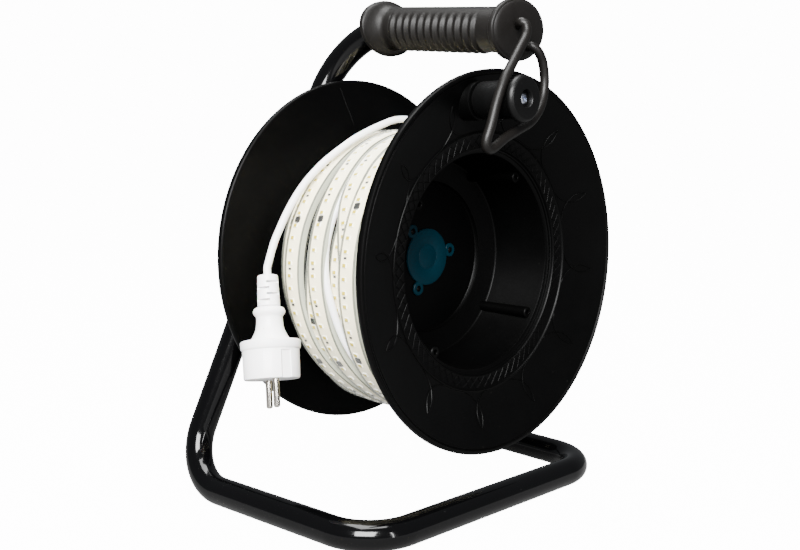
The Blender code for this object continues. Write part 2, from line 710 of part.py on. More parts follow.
def build_plug(finish, pin_finish, parent):
    """Round two-pin plug body with sockets for its pins, and the pins."""
    top = RELIEF_LENGTH + SEAT_GAP
    ring_end = top + PLUG_RING_LENGTH
    neck_end = ring_end + PLUG_NECK_LENGTH
    bell_end = neck_end + PLUG_BELL_LENGTH
    collar_end = bell_end + PLUG_COLLAR_LENGTH
    face = collar_end + PLUG_INSERT_LENGTH
    outline = [
        (0.0, top),
        (RELIEF_R, top),
        (PLUG_RING_R - 0.0008, top + 0.2 * PLUG_RING_LENGTH),
        (PLUG_RING_R, top + 0.5 * PLUG_RING_LENGTH),
        (PLUG_RING_R - 0.0008, top + 0.8 * PLUG_RING_LENGTH),
        (PLUG_NECK_R, ring_end),
        (PLUG_NECK_R, neck_end),
        (PLUG_NECK_R + 0.0012, neck_end + 0.45 * PLUG_BELL_LENGTH),
        (PLUG_BELL_R, bell_end),
        (PLUG_COLLAR_R - 0.0008, bell_end + 0.0004),
        (PLUG_COLLAR_R, bell_end + 0.0012),
        (PLUG_COLLAR_R, collar_end),
        (PLUG_INSERT_R, collar_end + 0.0008),
        (PLUG_INSERT_R - 0.0003, face - 0.0006),
        (PLUG_INSERT_R - 0.0009, face),
        (0.0, face),
    ]
    plug = add_object("plug_body", turned("plug_body", outline, PLUG_SIDES, False), finish, parent)
    plug.matrix_local = plug_matrix()
    for index, sign in enumerate((-1.0, 1.0)):
        across = Matrix.Rotation(math.radians(PIN_LINE_DEG), 4, "Y")
        offset = across @ Vector((0.5 * sign * PIN_SPACING, 0.0, 0.0))
        place = plug_matrix() @ Matrix.Translation(offset)
        hole_r = (PIN_R + SEAT_GAP) / math.cos(math.pi / PIN_SIDES)
        hole = cylinder_mesh("hole", hole_r, face - PIN_SOCKET - SEAT_GAP, face + 0.001, PIN_SIDES)
        boolean(plug, helper(f"pin_hole_{index}", hole, parent, place), "DIFFERENCE")
        outline = [
            (0.0, face - PIN_SOCKET),
            (PIN_R, face - PIN_SOCKET),
            (PIN_R, face + PIN_LENGTH - 0.0016),
            (0.6 * PIN_R, face + PIN_LENGTH - 0.0003),
            (0.0, face + PIN_LENGTH),
        ]
        name = f"plug_pin_{index + 1}"
        pin = add_object(name, turned(name, outline, PIN_SIDES, False), pin_finish, parent)
        pin.matrix_local = place


def stand_on_floor(reel, cord_names):
    """Move the reel so that its origin lies on the floor under the middle of its box."""
    bpy.context.view_layer.update()
    graph = bpy.context.evaluated_depsgraph_get()
    lows = []
    highs = []
    for item in bpy.context.scene.objects:
        if item.type != "MESH" or item.hide_render or item.name in cord_names:
            continue
        evaluated = item.evaluated_get(graph)
        corners = [evaluated.matrix_world @ vertex.co for vertex in evaluated.data.vertices]
        lows.append([min(corner[axis] for corner in corners) for axis in range(3)])
        highs.append([max(corner[axis] for corner in corners) for axis in range(3)])
    low = [min(values) for values in zip(*lows)]
    high = [max(values) for values in zip(*highs)]
    reel.location = (-0.5 * (low[0] + high[0]), -0.5 * (low[1] + high[1]), AXIS_HEIGHT)


def empty(name, parent, location):
    """An empty that holds pieces on their joint's axis."""
    made = bpy.data.objects.new(name, None)
    bpy.context.scene.collection.objects.link(made)
    made.parent = parent
    made.location = location
    return made


def main():
    """Build the whole reel."""
    clear_scene()
    tube_paint = material("stand_paint", (0.010, 0.010, 0.011), 0.18)
    drum_plastic = material("drum_plastic", (0.012, 0.012, 0.013), 0.42)
    cap_plastic = material("cap_plastic", (0.010, 0.105, 0.150), 0.45)
    knob_plastic = material("knob_plastic", (0.022, 0.021, 0.020), 0.50)
    rubber = material("rubber", (0.040, 0.034, 0.031), 0.60)
    strip = material("led_strip", (0.86, 0.85, 0.76), 0.30)
    white_pvc = material("white_pvc", (0.85, 0.85, 0.87), 0.38)
    plug_white = material("plug_white", (0.84, 0.83, 0.83), 0.40)
    nickel = material("nickel", (0.62, 0.58, 0.52), 0.20, 1.0)
    zinc = material("zinc", (0.55, 0.58, 0.66), 0.28, 1.0)

    reel = empty("reel", None, (0.0, 0.0, 0.0))
    drum = empty("drum_axis", reel, (0.0, 0.0, 0.0))
    knob_axis = empty("knob_axis", drum, (KNOB_X, 0.0, KNOB_Z))
    winding = empty("winding_axis", reel, (0.0, 0.0, -COIL_DROP))
    rear_side = empty("rear_half_axis", drum, (0.0, DRUM_DEPTH, 0.0))
    rear_side.rotation_euler = (math.pi, 0.0, 0.0)

    front = build_drum_half("drum_front", drum_plastic, drum, False)
    add_knob_boss(front, drum)
    add_lug_pegs(front, drum)
    build_drum_half("drum_rear", drum_plastic, rear_side, True)
    build_hub_cap(cap_plastic, drum)
    build_knob(knob_plastic, zinc, drum, knob_axis)
    build_winding(strip, winding)
    build_lead_turns(white_pvc, winding)
    build_stand(tube_paint, reel)
    build_grip(rubber, reel)
    build_loop(rubber, reel)
    build_lead(white_pvc, reel)
    build_strain_relief(plug_white, reel)
    build_plug(plug_white, nickel, reel)
    cord_names = ("lead", "lead_turns", "strain_relief", "plug_body", "plug_pin_1", "plug_pin_2")
    stand_on_floor(reel, cord_names)


main()
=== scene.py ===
"""Dressed model of an LED work light reel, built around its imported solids.

The solids fix every size and place. This file adds the smooth shapes, the wound light strip
and the finishes. Lengths are in metres. Shapes are made in the drum's own frame: its axis is
Y, its front rim lies in the plane y = 0, and DRUM_AT moves them to the frame's place.
"""

import math

import bmesh
import bpy
from mathutils import Matrix, Vector


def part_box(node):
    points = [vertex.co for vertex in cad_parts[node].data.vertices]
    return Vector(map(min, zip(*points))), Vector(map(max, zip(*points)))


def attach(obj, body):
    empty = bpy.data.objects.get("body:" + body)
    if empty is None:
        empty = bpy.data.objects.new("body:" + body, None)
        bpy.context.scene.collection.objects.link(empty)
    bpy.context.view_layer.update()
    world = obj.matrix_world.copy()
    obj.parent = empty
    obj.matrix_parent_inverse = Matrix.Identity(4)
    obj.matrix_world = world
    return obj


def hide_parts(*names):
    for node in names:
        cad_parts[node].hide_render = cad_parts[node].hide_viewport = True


bl_info = {
    "name": "Work Light Reel",
    "version": (1, 0, 0),
    "blender": (4, 5, 0),
    "location": "View3D > Sidebar > Reel",
    "description": "Builds the pieces and finishes of a wound LED work light on a tube stand",
    "category": "Object",
}

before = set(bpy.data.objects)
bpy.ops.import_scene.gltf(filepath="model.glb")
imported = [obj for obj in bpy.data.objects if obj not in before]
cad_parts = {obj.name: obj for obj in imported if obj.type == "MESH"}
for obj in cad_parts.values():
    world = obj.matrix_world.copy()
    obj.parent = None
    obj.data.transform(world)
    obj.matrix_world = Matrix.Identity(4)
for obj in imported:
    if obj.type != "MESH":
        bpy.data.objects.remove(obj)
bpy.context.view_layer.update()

# Sizes that follow the solids. Drum: each flange has a bead at its rim and is dished down to its
# mouth, where the flat band with the crossed lines lies.
DRUM_DEPTH = 0.1356
HALF_DEPTH = 0.5 * DRUM_DEPTH
FLANGE_R = 0.120
DISH_R = 0.0822
DISH_DEPTH = 0.0135
WALL = 0.0026
RIM_BEAD = 0.0035
RIM_THICKNESS = 0.0044
RIM_BACK_INSET = 0.0061
MOUTH_EDGE = 0.0014
BAND_INSET = 0.0004
LUG_FROM_AXIS = 0.0225
COIL_DROP = 0.0088
KNOB_AT = Vector((-0.0245, 0.0, 0.0995))

# Stand: corners of its centre line from the grip's end round the foot to the hidden axle
TUBE_R = 0.00925
TUBE_WALL = 0.0015
TUBE_SET_BACK = 0.0143
GRIP_FRONT = Vector((0.0, -0.0103, 0.1420))
TOP_BEND_AT = Vector((0.0, 0.1450, 0.1578))
TOP_BEND_R = 0.053
BEND_R = 0.034
FOOT_Z = -0.154
GRIP_AXIS = (TOP_BEND_AT - GRIP_FRONT).normalized()
STAND_CORNERS = [
    GRIP_FRONT + GRIP_AXIS * TUBE_SET_BACK, TOP_BEND_AT,
    (-0.1185, 0.1830, FOOT_Z), (-0.1050, 0.0095, FOOT_Z),
    (0.1125, 0.0045, FOOT_Z), (0.1165, 0.1780, FOOT_Z), (0.0, 0.1736, 0.0), (0.0, 0.0690, 0.0),
]

# Routes of the retaining loop and of the hanging lead
LOOP_R = 0.0029
LOOP_ROUTE = [
    (-0.0052, -0.0105, 0.1447), (-0.0056, -0.0142, 0.1444), (-0.0086, -0.0184, 0.1450),
    (-0.0077, -0.0215, 0.1429), (-0.0096, -0.0230, 0.1366), (-0.0183, -0.0250, 0.1278),
    (-0.0277, -0.0268, 0.1180), (-0.0350, -0.0280, 0.1098), (-0.0412, -0.0280, 0.0978),
    (-0.0462, -0.0280, 0.0844), (-0.0492, -0.0272, 0.0755), (-0.0476, -0.0266, 0.0714),
    (-0.0420, -0.0258, 0.0713), (-0.0291, -0.0243, 0.0773), (-0.0150, -0.0225, 0.0822),
    (-0.0011, -0.0205, 0.0870), (0.0090, -0.0190, 0.0942), (0.0153, -0.0175, 0.1029),
    (0.0171, -0.0170, 0.1132), (0.0147, -0.0172, 0.1233), (0.0104, -0.0168, 0.1297),
    (0.0074, -0.0142, 0.1327), (0.0070, -0.0105, 0.1331),
]
LEAD_D = 0.0046
LEAD_ROUTE = [
    (0.0456, 0.0690, -0.0945), (0.0744, 0.0700, -0.0712), (0.0923, 0.0715, -0.0388),
    (0.0969, 0.0735, -0.0020), (0.0880, 0.0760, 0.0322), (0.0687, 0.0790, 0.0599),
    (0.0456, 0.0820, 0.0789), (0.0238, 0.0860, 0.0895), (-0.0017, 0.0886, 0.0918),
    (-0.0194, 0.0890, 0.0875), (-0.0410, 0.0886, 0.0794), (-0.0545, 0.0902, 0.0716),
    (-0.0647, 0.0928, 0.0642), (-0.0729, 0.0948, 0.0568), (-0.0799, 0.0960, 0.0496),
    (-0.0858, 0.0968, 0.0423), (-0.0908, 0.0973, 0.0351), (-0.0953, 0.0976, 0.0279),
    (-0.0993, 0.0977, 0.0207), (-0.1033, 0.0976, 0.0136),
]

# Plug: where its strain relief starts and points, and its sizes; PIN_LINE is in degrees
PLUG_TOP = Vector((-0.1105, 0.0950, -0.0057))
PLUG_DOWN = Vector((-0.155, -0.254, -1.0)).normalized()
RELIEF_LENGTH = 0.0191
INSERT_R = 0.0172
PLUG_FACE = 0.0637
SOCKET_FLOOR = 0.0574
PIN_R = 0.0020
PIN_SPREAD = 0.0190
PIN_LINE = -56.5

# Grip as it is seen: oval guards, a domed face, and ribs from the first one on at an even pitch
GRIP_LENGTH = 0.115
GRIP_DOME = 0.0030
GRIP_BODY_R = 0.0137
GRIP_GUARD_R = 0.0184
GRIP_GUARD_THICKNESS = 0.0042
GRIP_GUARD_WIDENING = 0.36
GRIP_FLARE = 0.0075
GRIP_OVAL_RISE = 0.0035
GRIP_FIRST_RIB = 0.0266
GRIP_RIB_PITCH = 0.00637
GRIP_BORE_END = 0.0140
GRIP_SIDES = 120

# Camera, read off the photograph's view
CAMERA_AT = Vector((-0.4668, -0.3792, 0.0671))
CAMERA_AHEAD = Vector((0.6994, 0.7042, -0.1224))
CAMERA_RIGHT = Vector((0.7095, -0.7047, 0.0))
CAMERA_LENS = 43.4

REAR_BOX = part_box("drum_rear")
DRUM_AT = Vector((
    0.5 * (REAR_BOX[0][0] + REAR_BOX[1][0]),
    REAR_BOX[1][1] - DRUM_DEPTH,
    0.5 * (REAR_BOX[0][2] + REAR_BOX[1][2]),
))

# Surroundings, as bright as the camera sees them and as they light the reel
SEEN_WHITE = 14.0
WORLD_GLOW = 0.22
FLOOR_GLOW = 0.15

# Wound strip: (angle in degrees, place of the strip's middle along the axis in mm, depth in mm
# under the outer layer). Both runs start and end in the inner layer. RUN_SHIFT, in mm, moves
# them along the axis.
REAR_RUN = [
    (-60, 97.8, 6.4), (0, 97.8, 6.4), (60, 99.6, 6.4), (100, 104.4, 6.4), (131, 106.2, 6.4),
    (158, 106.4, 6.4), (165, 105.8, 6.4), (190, 103.2, 6.4), (210, 99.0, 6.4), (225, 95.6, 5.0),
    (240, 95.0, 2.0), (260, 97.0, 0.0), (300, 98.2, 0.0), (360, 98.2, 0.0), (400, 97.5, 0.0),
    (420, 96.5, 0.0), (450, 95.0, 0.0), (477, 93.8, 0.0), (491, 93.3, 0.0), (510, 93.9, 0.0),
    (520, 94.4, 0.0), (540, 93.5, 0.0), (550, 92.6, 0.0), (560, 91.0, 0.0), (569, 89.2, 0.0),
    (580, 85.4, 0.0), (587, 82.2, 0.0), (597, 78.4, 0.0), (612, 76.4, 0.0), (640, 76.4, 0.0),
    (690, 78.2, 0.0), (740, 80.4, 0.0), (780, 81.3, 0.0), (810, 80.2, 0.0), (837, 78.9, 0.0),
    (842, 77.8, 0.0), (850, 75.9, 0.0), (860, 74.3, 0.0), (870, 73.5, 0.0), (880, 72.6, 0.0),
    (890, 71.7, 0.0), (900, 70.7, 0.0), (910, 69.4, 0.0), (920, 68.5, 0.0), (930, 67.2, 0.0),
    (940, 64.6, 0.0), (950, 61.8, 0.0), (962, 60.4, 0.0), (990, 60.6, 0.0), (1050, 63.2, 0.0),
    (1100, 65.6, 0.0), (1140, 66.0, 0.0), (1170, 65.4, 0.3), (1197, 64.8, 0.8), (1203, 64.0, 0.9),
    (1209, 62.9, 1.0), (1215, 61.5, 1.0), (1221, 59.9, 1.1), (1227, 58.1, 1.4), (1232, 56.0, 2.0),
    (1237, 53.9, 2.9), (1242, 52.0, 3.8), (1247, 50.4, 4.6), (1252, 48.8, 5.2), (1260, 47.0, 5.6),
    (1280, 46.0, 5.8), (1300, 47.0, 5.8), (1315, 48.0, 5.8),
]
FRONT_RUN = [
    (190, 94.6, 6.4), (225, 90.0, 6.4), (300, 84.0, 6.4), (360, 80.5, 6.4), (420, 79.5, 6.4),
    (470, 79.5, 6.4), (520, 79.5, 6.4), (532, 78.8, 5.6), (540, 77.9, 4.2), (547, 77.6, 3.0),
    (555, 78.8, 2.5), (561, 79.4, 2.5), (570, 78.5, 2.6), (575, 76.8, 3.0), (581, 72.8, 4.6),
    (590, 68.6, 6.4), (640, 63.0, 6.4), (720, 60.0, 6.4), (830, 58.5, 6.4), (880, 58.5, 6.4),
    (900, 58.3, 6.4), (940, 57.0, 6.4), (1020, 55.5, 6.4), (1080, 54.6, 6.0), (1098, 53.6, 4.0),
    (1114, 52.4, 1.5), (1128, 51.2, 0.2), (1140, 50.4, 0.0), (1170, 49.6, 0.0), (1197, 48.9, 0.0),
    (1210, 48.0, 0.0), (1216, 46.6, 0.0), (1228, 44.9, 0.0), (1235, 43.9, 0.0), (1243, 43.2, 0.0),
    (1258, 42.6, 0.0), (1272, 42.6, 0.0), (1280, 43.2, 0.0), (1290, 44.5, 0.0), (1299, 45.5, 0.0),
    (1304, 46.2, 0.0), (1312, 46.9, 0.0), (1325, 46.6, 0.0), (1350, 44.8, 0.0), (1380, 42.0, 0.0),
    (1410, 38.6, 0.0), (1440, 35.4, 0.0), (1470, 33.0, 0.0), (1500, 31.6, 0.0), (1530, 31.0, 2.6),
    (1555, 30.6, 6.4), (1680, 30.4, 6.4), (1760, 30.4, 6.4), (1850, 30.6, 6.4),
]
RUN_SHIFT = -0.3

# Degrees of the driver blocks that are seen, and from one block to the next, how far a block sits
# from the row of lights, and where the small parts lie on the way to the next block
REAR_BLOCKS = [517.0, 575.7, 876.0, 934.5, 1249.5]
FRONT_BLOCKS = [557.0, 1230.0, 1290.5]
UNIT_ANGLE = 60.0
BLOCK_OFFSET = -0.0004
SMALL_PART_SHARES = (0.33, 0.57, 0.83)

# Places across the strip and depths under its outer face
LIGHT_ROW = 0.0018
BOARD_TOP = -0.0009
BOARD_BACK = -0.0052
BOARD_INSET = 0.0020

# Wound lead: (angle in degrees, place along the axis in mm, radius in mm)
LEAD_WOUND = [
    (-422, 58.0, 89.7), (-360, 60.0, 89.7), (-300, 62.0, 89.7), (-260, 68.0, 89.7),
    (-200, 69.0, 89.7), (-160, 68.0, 89.7), (-132, 63.5, 89.7), (-120, 60.0, 89.7),
    (-90, 58.0, 89.7), (-60, 58.0, 89.7), (0, 61.0, 89.7), (60, 63.0, 89.7), (90, 66.0, 89.7),
    (130, 67.0, 89.7), (165, 67.0, 89.7), (178, 64.5, 89.7), (190, 60.0, 89.8), (205, 55.5, 90.0),
    (220, 50.6, 90.1), (235, 48.0, 90.1), (250, 48.5, 90.4), (266, 51.0, 92.2), (280, 57.5, 95.2),
    (290, 64.4, 96.9), (297.7, 69.0, 97.1),
]


class ReelSizes(bpy.types.PropertyGroup):
    """Sizes that a user would change."""

    coil_radius: bpy.props.FloatProperty(
        name="Winding radius", description="Radius of the outer layer of wound strip",
        default=0.0938, min=0.085, max=0.110, subtype="DISTANCE", unit="LENGTH")
    strip_width: bpy.props.FloatProperty(
        name="Strip width", description="Width of the light strip's casing",
        default=0.0152, min=0.010, max=0.020, subtype="DISTANCE", unit="LENGTH")
    lights_per_unit: bpy.props.IntProperty(
        name="Lights per unit", description="Lights between two driver blocks",
        default=12, min=4, max=24)
    flange_motifs: bpy.props.IntProperty(
        name="Flange motifs", description="Raised leaf motifs round each flange",
        default=12, min=3, max=36)
    band_lines: bpy.props.IntProperty(
        name="Band lines", description="Crossed lines round the band beside the mouth, each way",
        default=72, min=24, max=144)
    relief_height: bpy.props.FloatProperty(
        name="Relief height", description="Height of the raised lines on the flanges",
        default=0.0004, min=0.0001, max=0.0015, subtype="DISTANCE", unit="LENGTH")
    grip_ribs: bpy.props.IntProperty(
        name="Grip ribs", description="Ribs round the grip's middle", default=12, min=4, max=24)
    grip_rib_height: bpy.props.FloatProperty(
        name="Rib height", description="Height of the grip's ribs over its body",
        default=0.0011, min=0.0, max=0.002, subtype="DISTANCE", unit="LENGTH")


class ReelColours(bpy.types.PropertyGroup):
    """Colours that a user would change."""

    paint: bpy.props.FloatVectorProperty(
        name="Stand paint", description="Gloss paint on the tube", size=3, subtype="COLOR",
        default=(0.0008, 0.0008, 0.0009), min=0.0, max=1.0)
    drum: bpy.props.FloatVectorProperty(
        name="Drum plastic", description="Moulded drum halves", size=3, subtype="COLOR",
        default=(0.0004, 0.0004, 0.0004), min=0.0, max=1.0)
    cap: bpy.props.FloatVectorProperty(
        name="Cap plastic", description="Cap over the hub", size=3, subtype="COLOR",
        default=(0.0003, 0.0098, 0.0158), min=0.0, max=1.0)
    knob: bpy.props.FloatVectorProperty(
        name="Knob plastic", description="Crank knob", size=3, subtype="COLOR",
        default=(0.0010, 0.0010, 0.0010), min=0.0, max=1.0)
    rubber: bpy.props.FloatVectorProperty(
        name="Rubber", description="Grip and retaining loop", size=3, subtype="COLOR",
        default=(0.0030, 0.0026, 0.0023), min=0.0, max=1.0)
    board: bpy.props.FloatVectorProperty(
        name="Strip board", description="White board inside the strip", size=3, subtype="COLOR",
        default=(0.92, 0.84, 0.58), min=0.0, max=1.0)
    lights: bpy.props.FloatVectorProperty(
        name="Light windows", description="Yellow windows of the lights", size=3, subtype="COLOR",
        default=(0.44, 0.35, 0.0), min=0.0, max=1.0)
    lead: bpy.props.FloatVectorProperty(
        name="Lead and plug", description="White supply lead and plug", size=3, subtype="COLOR",
        default=(0.86, 0.85, 0.85), min=0.0, max=1.0)


def sizes():
    """The sizes in use."""
    return bpy.context.scene.reel_sizes


def colours():
    """The colours in use."""
    return bpy.context.scene.reel_colours


# Node groups shared by the finishes
def new_tree(name, kind, inputs, outputs):
    """An empty node tree with named inputs and outputs, and its two end nodes."""
    tree = bpy.data.node_groups.new(name, kind)
    for label, socket, value in inputs:
        made = tree.interface.new_socket(label, in_out="INPUT", socket_type=socket)
        if value is not None:
            made.default_value = value
    for label, socket in outputs:
        tree.interface.new_socket(label, in_out="OUTPUT", socket_type=socket)
    start = tree.nodes.new("NodeGroupInput")
    end = tree.nodes.new("NodeGroupOutput")
    return tree, start, end


def math_node(tree, operation, first, second):
    """A Math node on two values or sockets."""
    node = tree.nodes.new("ShaderNodeMath")
    node.operation = operation
    for socket, value in zip(node.inputs, (first, second)):
        if isinstance(value, bpy.types.NodeSocket):
            tree.links.new(value, socket)
        else:
            socket.default_value = value
    return node.outputs[0]


def noise_value(tree, start, scale, detail, roughness):
    """Height of a noise texture at the group's own place and scale."""
    noise = tree.nodes.new("ShaderNodeTexNoise")
    noise.inputs["Detail"].default_value = detail
    noise.inputs["Roughness"].default_value = roughness
    tree.links.new(start.outputs["Place"], noise.inputs["Vector"])
    tree.links.new(start.outputs[scale], noise.inputs["Scale"])
    return noise.outputs[0]


def tone_group():
    """Slow drift of a colour over the surface, with dust specks on it."""
    inputs = [
        ("Place", "NodeSocketVector", None), ("Colour", "NodeSocketColor", None),
        ("Scale", "NodeSocketFloat", 20.0), ("Drift", "NodeSocketFloat", 0.1),
        ("Speck Scale", "NodeSocketFloat", 120.0), ("Speck Size", "NodeSocketFloat", 0.0),
        ("Speck Share", "NodeSocketFloat", 0.2), ("Speck Colour", "NodeSocketColor", None),
    ]
    outputs = [("Colour", "NodeSocketColor")]
    tree, start, end = new_tree("tone_and_dust", "ShaderNodeTree", inputs, outputs)
    drift = math_node(tree, "SUBTRACT", noise_value(tree, start, "Scale", 4.0, 0.6), 0.5)
    gain = math_node(tree, "MULTIPLY", drift, start.outputs["Drift"])
    gain = math_node(tree, "ADD", math_node(tree, "MULTIPLY", gain, 2.0), 1.0)
    scaled = tree.nodes.new("ShaderNodeVectorMath")
    scaled.operation = "SCALE"
    tree.links.new(start.outputs["Colour"], scaled.inputs[0])
    tree.links.new(gain, scaled.inputs["Scale"])
    cells = tree.nodes.new("ShaderNodeTexVoronoi")
    tree.links.new(start.outputs["Place"], cells.inputs["Vector"])
    tree.links.new(start.outputs["Speck Scale"], cells.inputs["Scale"])
    near = math_node(tree, "LESS_THAN", cells.outputs["Distance"], start.outputs["Speck Size"])
    parts = tree.nodes.new("ShaderNodeSeparateColor")
    tree.links.new(cells.outputs["Color"], parts.inputs[0])
    picked = math_node(tree, "LESS_THAN", parts.outputs[0], start.outputs["Speck Share"])
    mask = math_node(tree, "MULTIPLY", near, picked)
    mask = math_node(tree, "MULTIPLY", mask, parts.outputs[1])
    mix = tree.nodes.new("ShaderNodeMix")
    mix.data_type = "RGBA"
    tree.links.new(mask, mix.inputs["Factor"])
    tree.links.new(scaled.outputs[0], mix.inputs[6])
    tree.links.new(start.outputs["Speck Colour"], mix.inputs[7])
    tree.links.new(mix.outputs[2], end.inputs["Colour"])
    return tree


def gloss_group():
    """Roughness that changes a little over the surface, as handling and moulding leave it."""
    inputs = [
        ("Place", "NodeSocketVector", None), ("Roughness", "NodeSocketFloat", 0.4),
        ("Scale", "NodeSocketFloat", 30.0), ("Spread", "NodeSocketFloat", 0.1),
    ]
    outputs = [("Roughness", "NodeSocketFloat")]
    tree, start, end = new_tree("uneven_gloss", "ShaderNodeTree", inputs, outputs)
    drift = math_node(tree, "SUBTRACT", noise_value(tree, start, "Scale", 5.0, 0.65), 0.5)
    drift = math_node(tree, "MULTIPLY", drift, start.outputs["Spread"])
    drift = math_node(tree, "MULTIPLY", drift, 2.0)
    total = math_node(tree, "ADD", drift, start.outputs["Roughness"])
    tree.links.new(total, end.inputs["Roughness"])
    return tree


def grain_group():
    """Height of a fine moulded grain over a coarser unevenness."""
    inputs = [
        ("Place", "NodeSocketVector", None), ("Fine Scale", "NodeSocketFloat", 900.0),
        ("Coarse Scale", "NodeSocketFloat", 40.0), ("Fine Share", "NodeSocketFloat", 0.5),
    ]
    outputs = [("Height", "NodeSocketFloat")]
    tree, start, end = new_tree("moulded_grain", "ShaderNodeTree", inputs, outputs)
    fine = noise_value(tree, start, "Fine Scale", 2.0, 0.5)
    coarse = noise_value(tree, start, "Coarse Scale", 3.0, 0.5)
    fine = math_node(tree, "MULTIPLY", fine, start.outputs["Fine Share"])
    total = math_node(tree, "ADD", fine, coarse)
    tree.links.new(total, end.inputs["Height"])
    return tree


GROUPS = {}


def shared_group(name, maker):
    """A shared node group, built once."""
    if name not in GROUPS:
        GROUPS[name] = maker()
    return GROUPS[name]


def place_group(tree, group, place, values):
    """Put a shared group into a material with its own values."""
    node = tree.nodes.new("ShaderNodeGroup")
    node.node_tree = group
    tree.links.new(place, node.inputs["Place"])
    for label, value in values.items():
        node.inputs[label].default_value = value
    return node


def finish(name, colour, roughness, drift=0.10, tone_scale=25.0, spread=0.06, gloss_scale=40.0,
           fine=900.0, coarse=40.0, fine_share=0.5, bump=0.00004, specks=(120.0, 0.0, 0.2),
           speck_colour=(0.10, 0.10, 0.10), metallic=0.0, coat=0.0, coat_roughness=0.1, sheen=0.0,
           specular=0.5, subsurface=0.0):
    """A procedural finish: drifting tone with dust, uneven gloss and a fine grain."""
    made = bpy.data.materials.new(name)
    made.use_nodes = True
    tree = made.node_tree
    shader = tree.nodes["Principled BSDF"]
    place = tree.nodes.new("ShaderNodeTexCoord").outputs["Object"]
    tone = place_group(tree, shared_group("tone", tone_group), place, {
        "Colour": (*colour, 1.0), "Scale": tone_scale, "Drift": drift, "Speck Scale": specks[0],
        "Speck Size": specks[1], "Speck Share": specks[2], "Speck Colour": (*speck_colour, 1.0)})
    tree.links.new(tone.outputs["Colour"], shader.inputs["Base Color"])
    gloss = place_group(tree, shared_group("gloss", gloss_group), place, {
        "Roughness": roughness, "Scale": gloss_scale, "Spread": spread})
    tree.links.new(gloss.outputs["Roughness"], shader.inputs["Roughness"])
    grain = place_group(tree, shared_group("grain", grain_group), place, {
        "Fine Scale": fine, "Coarse Scale": coarse, "Fine Share": fine_share})
    relief = tree.nodes.new("ShaderNodeBump")
    relief.inputs["Strength"].default_value = 1.0
    relief.inputs["Distance"].default_value = bump
    tree.links.new(grain.outputs["Height"], relief.inputs["Height"])
    tree.links.new(relief.outputs["Normal"], shader.inputs["Normal"])
    shader.inputs["Metallic"].default_value = metallic
    shader.inputs["Coat Weight"].default_value = coat
    shader.inputs["Coat Roughness"].default_value = coat_roughness
    shader.inputs["Sheen Weight"].default_value = sheen
    shader.inputs["Specular IOR Level"].default_value = specular
    shader.inputs["Subsurface Weight"].default_value = subsurface
    shader.inputs["Subsurface Scale"].default_value = 0.002
    made.diffuse_color = (*colour, 1.0)
    return made


def clear_finish(name, colour, centre_alpha, edge_alpha):
    """Clear casing that looks milky where it is seen at a slant."""
    made = finish(name, colour, 0.12, drift=0.04, spread=0.04, bump=0.00002, fine=300.0)
    tree = made.node_tree
    slant = tree.nodes.new("ShaderNodeLayerWeight")
    slant.inputs["Blend"].default_value = 0.35
    ramp = tree.nodes.new("ShaderNodeMapRange")
    ramp.inputs["From Min"].default_value = 0.35
    ramp.inputs["To Min"].default_value = centre_alpha
    ramp.inputs["To Max"].default_value = edge_alpha
    tree.links.new(slant.outputs["Facing"], ramp.inputs["Value"])
    tree.links.new(ramp.outputs["Result"], tree.nodes["Principled BSDF"].inputs["Alpha"])
    return made


# Mesh helpers
def smoothed(mesh, sharp=40.0):
    """The mesh with smooth shading, and with edges past the given angle kept sharp."""
    mesh.shade_smooth()
    mesh.set_sharp_from_angle(angle=math.radians(sharp))
    return mesh


def plain_mesh(shape, name, sharp=40.0):
    """Turn an edit mesh into a smooth mesh."""
    mesh = bpy.data.meshes.new(name)
    shape.to_mesh(mesh)
    shape.free()
    return smoothed(mesh, sharp)


def finished_mesh(shape, name, sharp=40.0):
    """Turn an edit mesh into a smooth mesh with its faces pointing out."""
    bmesh.ops.recalc_face_normals(shape, faces=shape.faces)
    return plain_mesh(shape, name, sharp)


def moved(mesh, place):
    """The mesh, moved to a place."""
    mesh.transform(Matrix.Translation(place))
    return mesh


def new_object(name, data):
    """A new object in the scene."""
    made = bpy.data.objects.new(name, data)
    bpy.context.scene.collection.objects.link(made)
    return made


def join_rings(shape, first, second, around=True):
    """Join two rows of points with a band of faces."""
    count = len(first)
    for index in range(count if around else count - 1):
        after = (index + 1) % count
        shape.faces.new((first[index], first[after], second[after], second[index]))


def close_ring(shape, ring, tip):
    """Close a ring of points with a fan of faces to one point."""
    middle = shape.verts.new(tip)
    for index, point in enumerate(ring):
        shape.faces.new((point, ring[(index + 1) % len(ring)], middle))


def turned(name, outline, sides=128, closed=False, sharp=40.0):
    """Turn an outline of (radius, along) about +Y; an open one ends on the axis at both ends."""
    shape = bmesh.new()
    rings = []
    for radius, along in outline:
        if radius < 1e-6:
            rings.append([shape.verts.new((0.0, along, 0.0))])
            continue
        ring = []
        for side in range(sides):
            angle = 2.0 * math.pi * side / sides
            ring.append(shape.verts.new((radius * math.cos(angle), along, radius * math.sin(angle))))
        rings.append(ring)
    pairs = list(zip(rings[:-1], rings[1:]))
    if closed:
        pairs.append((rings[-1], rings[0]))
    for first, second in pairs:
        for side in range(sides):
            after = (side + 1) % sides
            corners = [first[side % len(first)], first[after % len(first)]]
            corners += [second[after % len(second)], second[side % len(second)]]
            shape.faces.new(list(dict.fromkeys(corners)))
    return finished_mesh(shape, name, sharp)


def rod(name, radius, start, stop, sides):
    """A plain round rod along +Y, for a hole."""
    return turned(name, [(0.0, start), (radius, start), (radius, stop), (0.0, stop)], sides)


